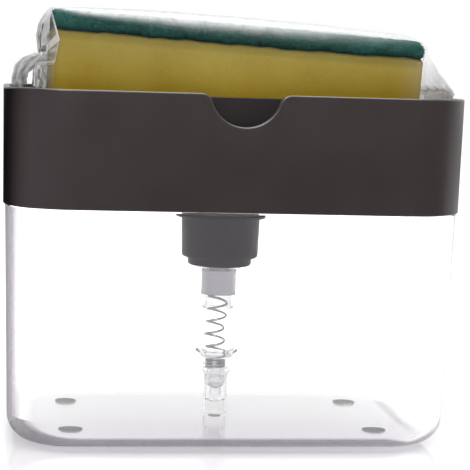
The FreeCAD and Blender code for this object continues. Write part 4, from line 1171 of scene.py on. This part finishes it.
def film_tail():
    """The twisted tail of film from the left pinch down to the tray's rim."""
    path = np.array([
        (-56.6, -31, 112.7), (-58.4, -29, 111.6), (-60.6, -26, 110.3), (-62.2, -23.5, 108.5),
        (-63.0, -21, 106.3), (-63.2, -19.5, 104.4),
    ])
    radii = (0.6, 1.6, 2.0, 2.1, 2.0, 2.1)
    steps, around, reach, flatness, depth = 60, 48, 0.3, 0.8, 0.13
    stops, last = range(len(path)), len(path) - 1

    def along(t):
        return np.array([np.interp(t, stops, path[:, axis]) for axis in range(3)])

    rows, marks = [], []
    for t in np.linspace(0, last, steps):
        centre = along(t)
        way = along(min(t + reach, last)) - along(max(t - reach, 0))
        way /= np.linalg.norm(way)
        side = np.cross(way, (0, 1, 0))
        side /= np.linalg.norm(side)
        other = np.cross(way, side)
        size = np.interp(t, stops, radii)
        row = []
        for step in range(around):
            a = 2 * math.pi * step / around
            fold = math.sin(5 * a + 1.6 * t) + 0.5 * math.sin(9 * a - 1.1 * t + 1.0)
            r = size * (1 + depth * fold)
            row.append(tuple(centre + side * r * math.cos(a) + other * r * flatness * math.sin(a)))
            # The tail is milky all over, with painted shade in the hollows of its folds
            marks.append((1.0, min(max((0.26 - 0.32 * fold) * min(t, 1.0), 0.0), 1.0)))
        rows.append(row)
    points, faces = bridge(rows)
    return np.array(points), faces[:-1], marks


def kept_in(points):
    """Places drawn in so that they stay inside the frame, and inside the tray's wall below its top."""
    result = []
    for x, y, z in points:
        reach = CORNER - (TRAY_ROOM if z < TRAY_ROOM_TOP else FRAME_ROOM)
        over_x, over_y = abs(x) - CORE_X, abs(y) - CORE_Y
        if over_x > 0 and over_y > 0:
            far = math.hypot(over_x, over_y)
            if far > reach:
                over_x, over_y = over_x * reach / far, over_y * reach / far
                x, y = math.copysign(CORE_X + over_x, x), math.copysign(CORE_Y + over_y, y)
        elif over_x > reach:
            x = math.copysign(CORE_X + reach, x)
        result.append((x, y, z))
    return np.array(result)


def flap_marks(u, v):
    """Milk and grey of the flap at the left end: a painted highlight along two of its edges."""
    if v < 0.08:
        return 1.0, 0.0
    if u > 0.72 and v < 0.9:
        return 0.95, 0.0
    return 0.3 + 0.2 * v * u, 0.45


def fold_marks(u, v):
    """Milk and grey of the fold under the flap: streaked, with a painted highlight on its edges."""
    if u > 0.9 or v < 0.06:
        return 0.95, 0.0
    return 0.6, 0.15 + 0.4 * abs(math.sin(7 * u + 3 * v))


def lower_marks(u, v):
    """Milk and grey of the lowest fold: clear, with a painted highlight on its upper edge."""
    if u < 0.06:
        return 0.9, 0.0
    return 0.25 + 0.25 * v, 0.4


def make_film():
    """The film: a sleeve, a folded left end with a twisted tail, and a crumpled right end."""
    left = film_end(
        side=-1, heights=(-0.5, 2.5, 8.5, 11.0, 12.8, 14.5, 17.9, 20.9, 23.5, 25.4),
        reach=(2.0, 2.7, 3.0, 2.2, 1.5, 2.0, 2.6, 2.4, 1.4, 0.0),
        spread=4, pinch=(-14.0, 12.8), ripple=0.22,
        marks_at=lambda z: (np.interp(z, (8, 14, 22, 25), (0.35, 0.7, 0.65, 0.3)), 0.58),
    )
    right = film_end(
        side=1, heights=(-0.5, 8.0, 9.6, 11.0, 12.6, 14.6, 17.4, 20.5, 22.5, 24.0),
        reach=(9.5, 10.2, 12.2, 12.4, 11.0, 9.3, 6.3, 3.0, 0.8, 0.0),
        spread=8, pinch=(-60.0, 30.0), ripple=0.3,
        marks_at=lambda z: (np.interp(z, (9, 10.4, 13, 20), (0.75, 0.6, 0.02, -0.18)), 0.35),
    )
    flap = film_patch([
        (-54.5, -35.4, 125.4), (-52.0, -36.2, 116.9), (-55.8, -35.2, 113.5), (-57.5, -31.5, 119.0),
    ], swell=0.7, marks_at=flap_marks)
    fold = film_patch([
        (-52.3, -36.1, 116.5), (-53.3, -36.3, 110.6), (-58.7, -33.0, 110.2), (-56.2, -34.5, 113.6),
    ], swell=0.8, marks_at=fold_marks)
    lower = film_patch([
        (-53.4, -36.0, 110.4), (-53.6, -36.0, 102.0), (-58.6, -32.5, 102.0), (-58.8, -33.0, 110.0),
    ], swell=0.5, marks_at=lower_marks)
    points, faces, marks = [], [], []
    for places, skin, creases in (film_sleeve(), left, right, flap, fold, lower, film_tail()):
        start = len(points)
        points += list(kept_in(places))
        faces += [tuple(start + corner for corner in face) for face in skin]
        marks += list(creases)
    film = make_piece("film", points, faces, clear_film, angle=180)
    mark_points(film, "crease_and_highlight", [milk for milk, grey in marks])
    mark_points(film, "folded", [grey for milk, grey in marks])
    return film


def settle(piece, body, slot, *nodes):
    """Hangs a piece on its body in place of CAD nodes."""
    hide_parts(*nodes)
    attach(piece, body)


settle(make_tank(), "base", "clear_tank", "tank")
settle(make_frame(), "head", "frame_grey", "frame")
settle(make_collar(), "head", "collar_grey", "pump_collar")
settle(make_barrel(), "head", "clear_pump", "pump_barrel")
settle(make_tube(), "head", "clear_pump", "dip_tube")
settle(make_plug(), "plunger", "natural_plastic", "stem_plug")
settle(make_piston(), "piston", "natural_plastic", "piston_seal")
settle(make_ball(), "valve_ball", "ball_glass", "inlet_ball")
settle(make_tray(), "tray", "frame_grey", "press_tray")
spring = make_spring()
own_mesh(spring)
settle(spring, "head", "spring_steel", "return_spring")
foam = make_foam()
settle(foam, "sponge", "sponge_yellow", "sponge_foam")
settle(make_pad(), "sponge", "scour_green", "scour_pad")
settle(make_film(), "sponge", "clear_film", "sponge_wrapper")

# CAD solids that stay as they are and get a better material
KEPT = {
    "foot_front_left": foot_rubber,
    "foot_front_right": foot_rubber,
    "foot_back_left": foot_rubber,
    "foot_back_right": foot_rubber,
    "collar_gasket": seal_rubber,
    "stem_guide": milky,
    "pump_stem": milky,
}
for node, material in KEPT.items():
    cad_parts[node].data.materials[0] = material


# Floor, light and camera
def floor_material():
    """A pale table that mirrors the tank's foot a little; shiny pieces see it darker, most on the left, as a
    painted reflection.
    """
    material, tree = new_material("pale_floor")
    place = here(tree)
    split = add(tree, "ShaderNodeSeparateXYZ", {"Vector": place}).outputs
    path = add(tree, "ShaderNodeLightPath").outputs
    pale = ramp(tree, clouds(tree, place, 3.0), [(0.3, (0.8, 0.8, 0.805)), (0.7, (0.82, 0.82, 0.825))])
    # What the eye sees: white, with painted light that makes it a little brighter through the tank and far
    # behind
    front = over(tree, split["Y"], (-0.04, 0.03), (0.0, 1.0))
    through = over(tree, split["Y"], (-0.03, 0.03), (0.1, 0.38))
    faded = over(tree, split["Y"], (0.2, 1.0), (0.0, 0.5))
    glow = maths(
        tree, "ADD",
        maths(tree, "MULTIPLY", path["Is Transmission Ray"], through),
        maths(tree, "MULTIPLY", path["Is Camera Ray"], faded),
    )
    lit = maths(tree, "MULTIPLY_ADD", path["Is Camera Ray"], -0.07, 0.3)
    shader = add(tree, "ShaderNodeBsdfPrincipled", {
        "Base Color": pale, "Roughness": 0.5, "Specular IOR Level": 0.0,
        "Emission Color": ramp(tree, front, [(0.0, (0.97, 0.9, 1.0)), (1.0, (1, 1, 1))]),
        "Emission Strength": maths(tree, "ADD", glow, lit),
    })
    mirror = add(tree, "ShaderNodeBsdfGlossy", {"Color": (1, 1, 1, 1), "Roughness": 0.1})
    mirror_share = maths(tree, "MULTIPLY", path["Is Camera Ray"], 0.35)
    table = blend(tree, mirror_share, shader.outputs["BSDF"], mirror.outputs["BSDF"])

    # What shiny pieces see: a painted reflection, darker on the left and close in front
    near = over(tree, split["X"], (-0.1, 0.08), (0.34, 1.0))
    ahead = over(tree, split["Y"], (-0.07, -0.03), (0.1, 1.0))
    far = over(tree, split["X"], (-0.1, 0.1), (0.02, 0.3))
    away = over(tree, split["Y"], (0.5, 1.0), (0.0, 1.0))
    beside = maths(tree, "MULTIPLY", near, ahead)
    close = maths(tree, "MULTIPLY", beside, maths(tree, "SUBTRACT", 1.0, away))
    shade = maths(tree, "ADD", close, maths(tree, "MULTIPLY", far, away))
    dim = add(tree, "ShaderNodeEmission", {"Color": (1, 1, 1, 1), "Strength": shade})
    mirrored = maths(tree, "SUBTRACT", path["Is Glossy Ray"], path["Is Transmission Ray"], clamp=True)
    add(tree, "ShaderNodeOutputMaterial", {"Surface": blend(tree, mirrored, table, dim.outputs["Emission"])})
    return material


def make_floor():
    """The table under the caddy, which reaches further behind it than in front."""
    side, behind = 3000, 6000
    points = [(-side, -side, 0), (side, -side, 0), (side, behind, 0), (-side, behind, 0)]
    floor = make_piece("floor", points, [(0, 1, 2, 3)], floor_material())


def make_world():
    """A white room, darker in front and on the far left for all but the camera."""
    world = bpy.data.worlds.new("studio")
    bpy.context.scene.world = world
    world.use_nodes = True
    tree = world.node_tree
    tree.nodes.clear()
    way = add(tree, "ShaderNodeTexCoord").outputs["Generated"]
    split = add(tree, "ShaderNodeSeparateXYZ", {"Vector": way}).outputs
    back = over(tree, split["Y"], (-0.2, 0.5), (0.35, 1.0))
    left = over(tree, split["X"], (-0.95, -0.4), (0.06, 1.0))
    seen = add(tree, "ShaderNodeLightPath").outputs["Is Camera Ray"]
    strength = maths(tree, "MAXIMUM", maths(tree, "MULTIPLY", back, left), seen)
    plain = add(tree, "ShaderNodeBackground", {"Color": (1, 1, 1, 1), "Strength": strength})
    add(tree, "ShaderNodeOutputWorld", {"Surface": plain.outputs["Background"]})


def make_light(name, place, target, size, power):
    """A soft rectangular lamp, in metres, turned to its target."""
    lamp = bpy.data.lights.new(name, "AREA")
    lamp.shape = "RECTANGLE"
    lamp.size, lamp.size_y = size
    lamp.energy = power
    thing = bpy.data.objects.new(name, lamp)
    thing.location = place
    thing.rotation_euler = (Vector(target) - Vector(place)).to_track_quat("-Z", "Y").to_euler()
    bpy.context.scene.collection.objects.link(thing)


def make_camera():
    """The photograph's camera, solved from the rim, the notch, the feet and the pump."""
    azimuth, elevation, roll, distance = 0.1192, 0.105, 0.0302, 487.6724
    target = Vector((-9.924, 0, 59.0953))
    image_px, focal_px, centre_x_px, centre_y_px, sensor = 470, 1573.664, 188.0, 233.917, 36.0
    level = math.cos(elevation)
    ahead = Vector((math.sin(azimuth) * level, math.cos(azimuth) * level, -math.sin(elevation)))
    right = Vector((math.cos(azimuth), -math.sin(azimuth), 0))
    up = right.cross(ahead)
    across = right * math.cos(roll) + up * math.sin(roll)
    upward = up * math.cos(roll) - right * math.sin(roll)
    lens = bpy.data.cameras.new("photo_view")
    lens.sensor_width = sensor
    lens.lens = focal_px / image_px * sensor
    lens.shift_x = (image_px / 2 - centre_x_px) / image_px
    lens.shift_y = (centre_y_px - image_px / 2) / image_px
    lens.clip_start, lens.clip_end = 0.01, 50.0
    camera = bpy.data.objects.new("photo_view", lens)
    turn = Matrix((across, upward, -ahead)).transposed().to_4x4()
    camera.matrix_world = Matrix.Translation((target - ahead * distance) * MM) @ turn
    bpy.context.scene.collection.objects.link(camera)
    bpy.context.scene.camera = camera


make_floor()
make_world()
make_light("top", (0.0, -0.1, 0.9), (0, 0, 0.06), (0.9, 0.7), 9.0)
make_light("front_left", (-0.3, -0.95, 0.76), (0, 0, 0.07), (0.5, 0.5), 5.5)
make_camera()
bpy.context.scene.view_settings.view_transform = "Standard"
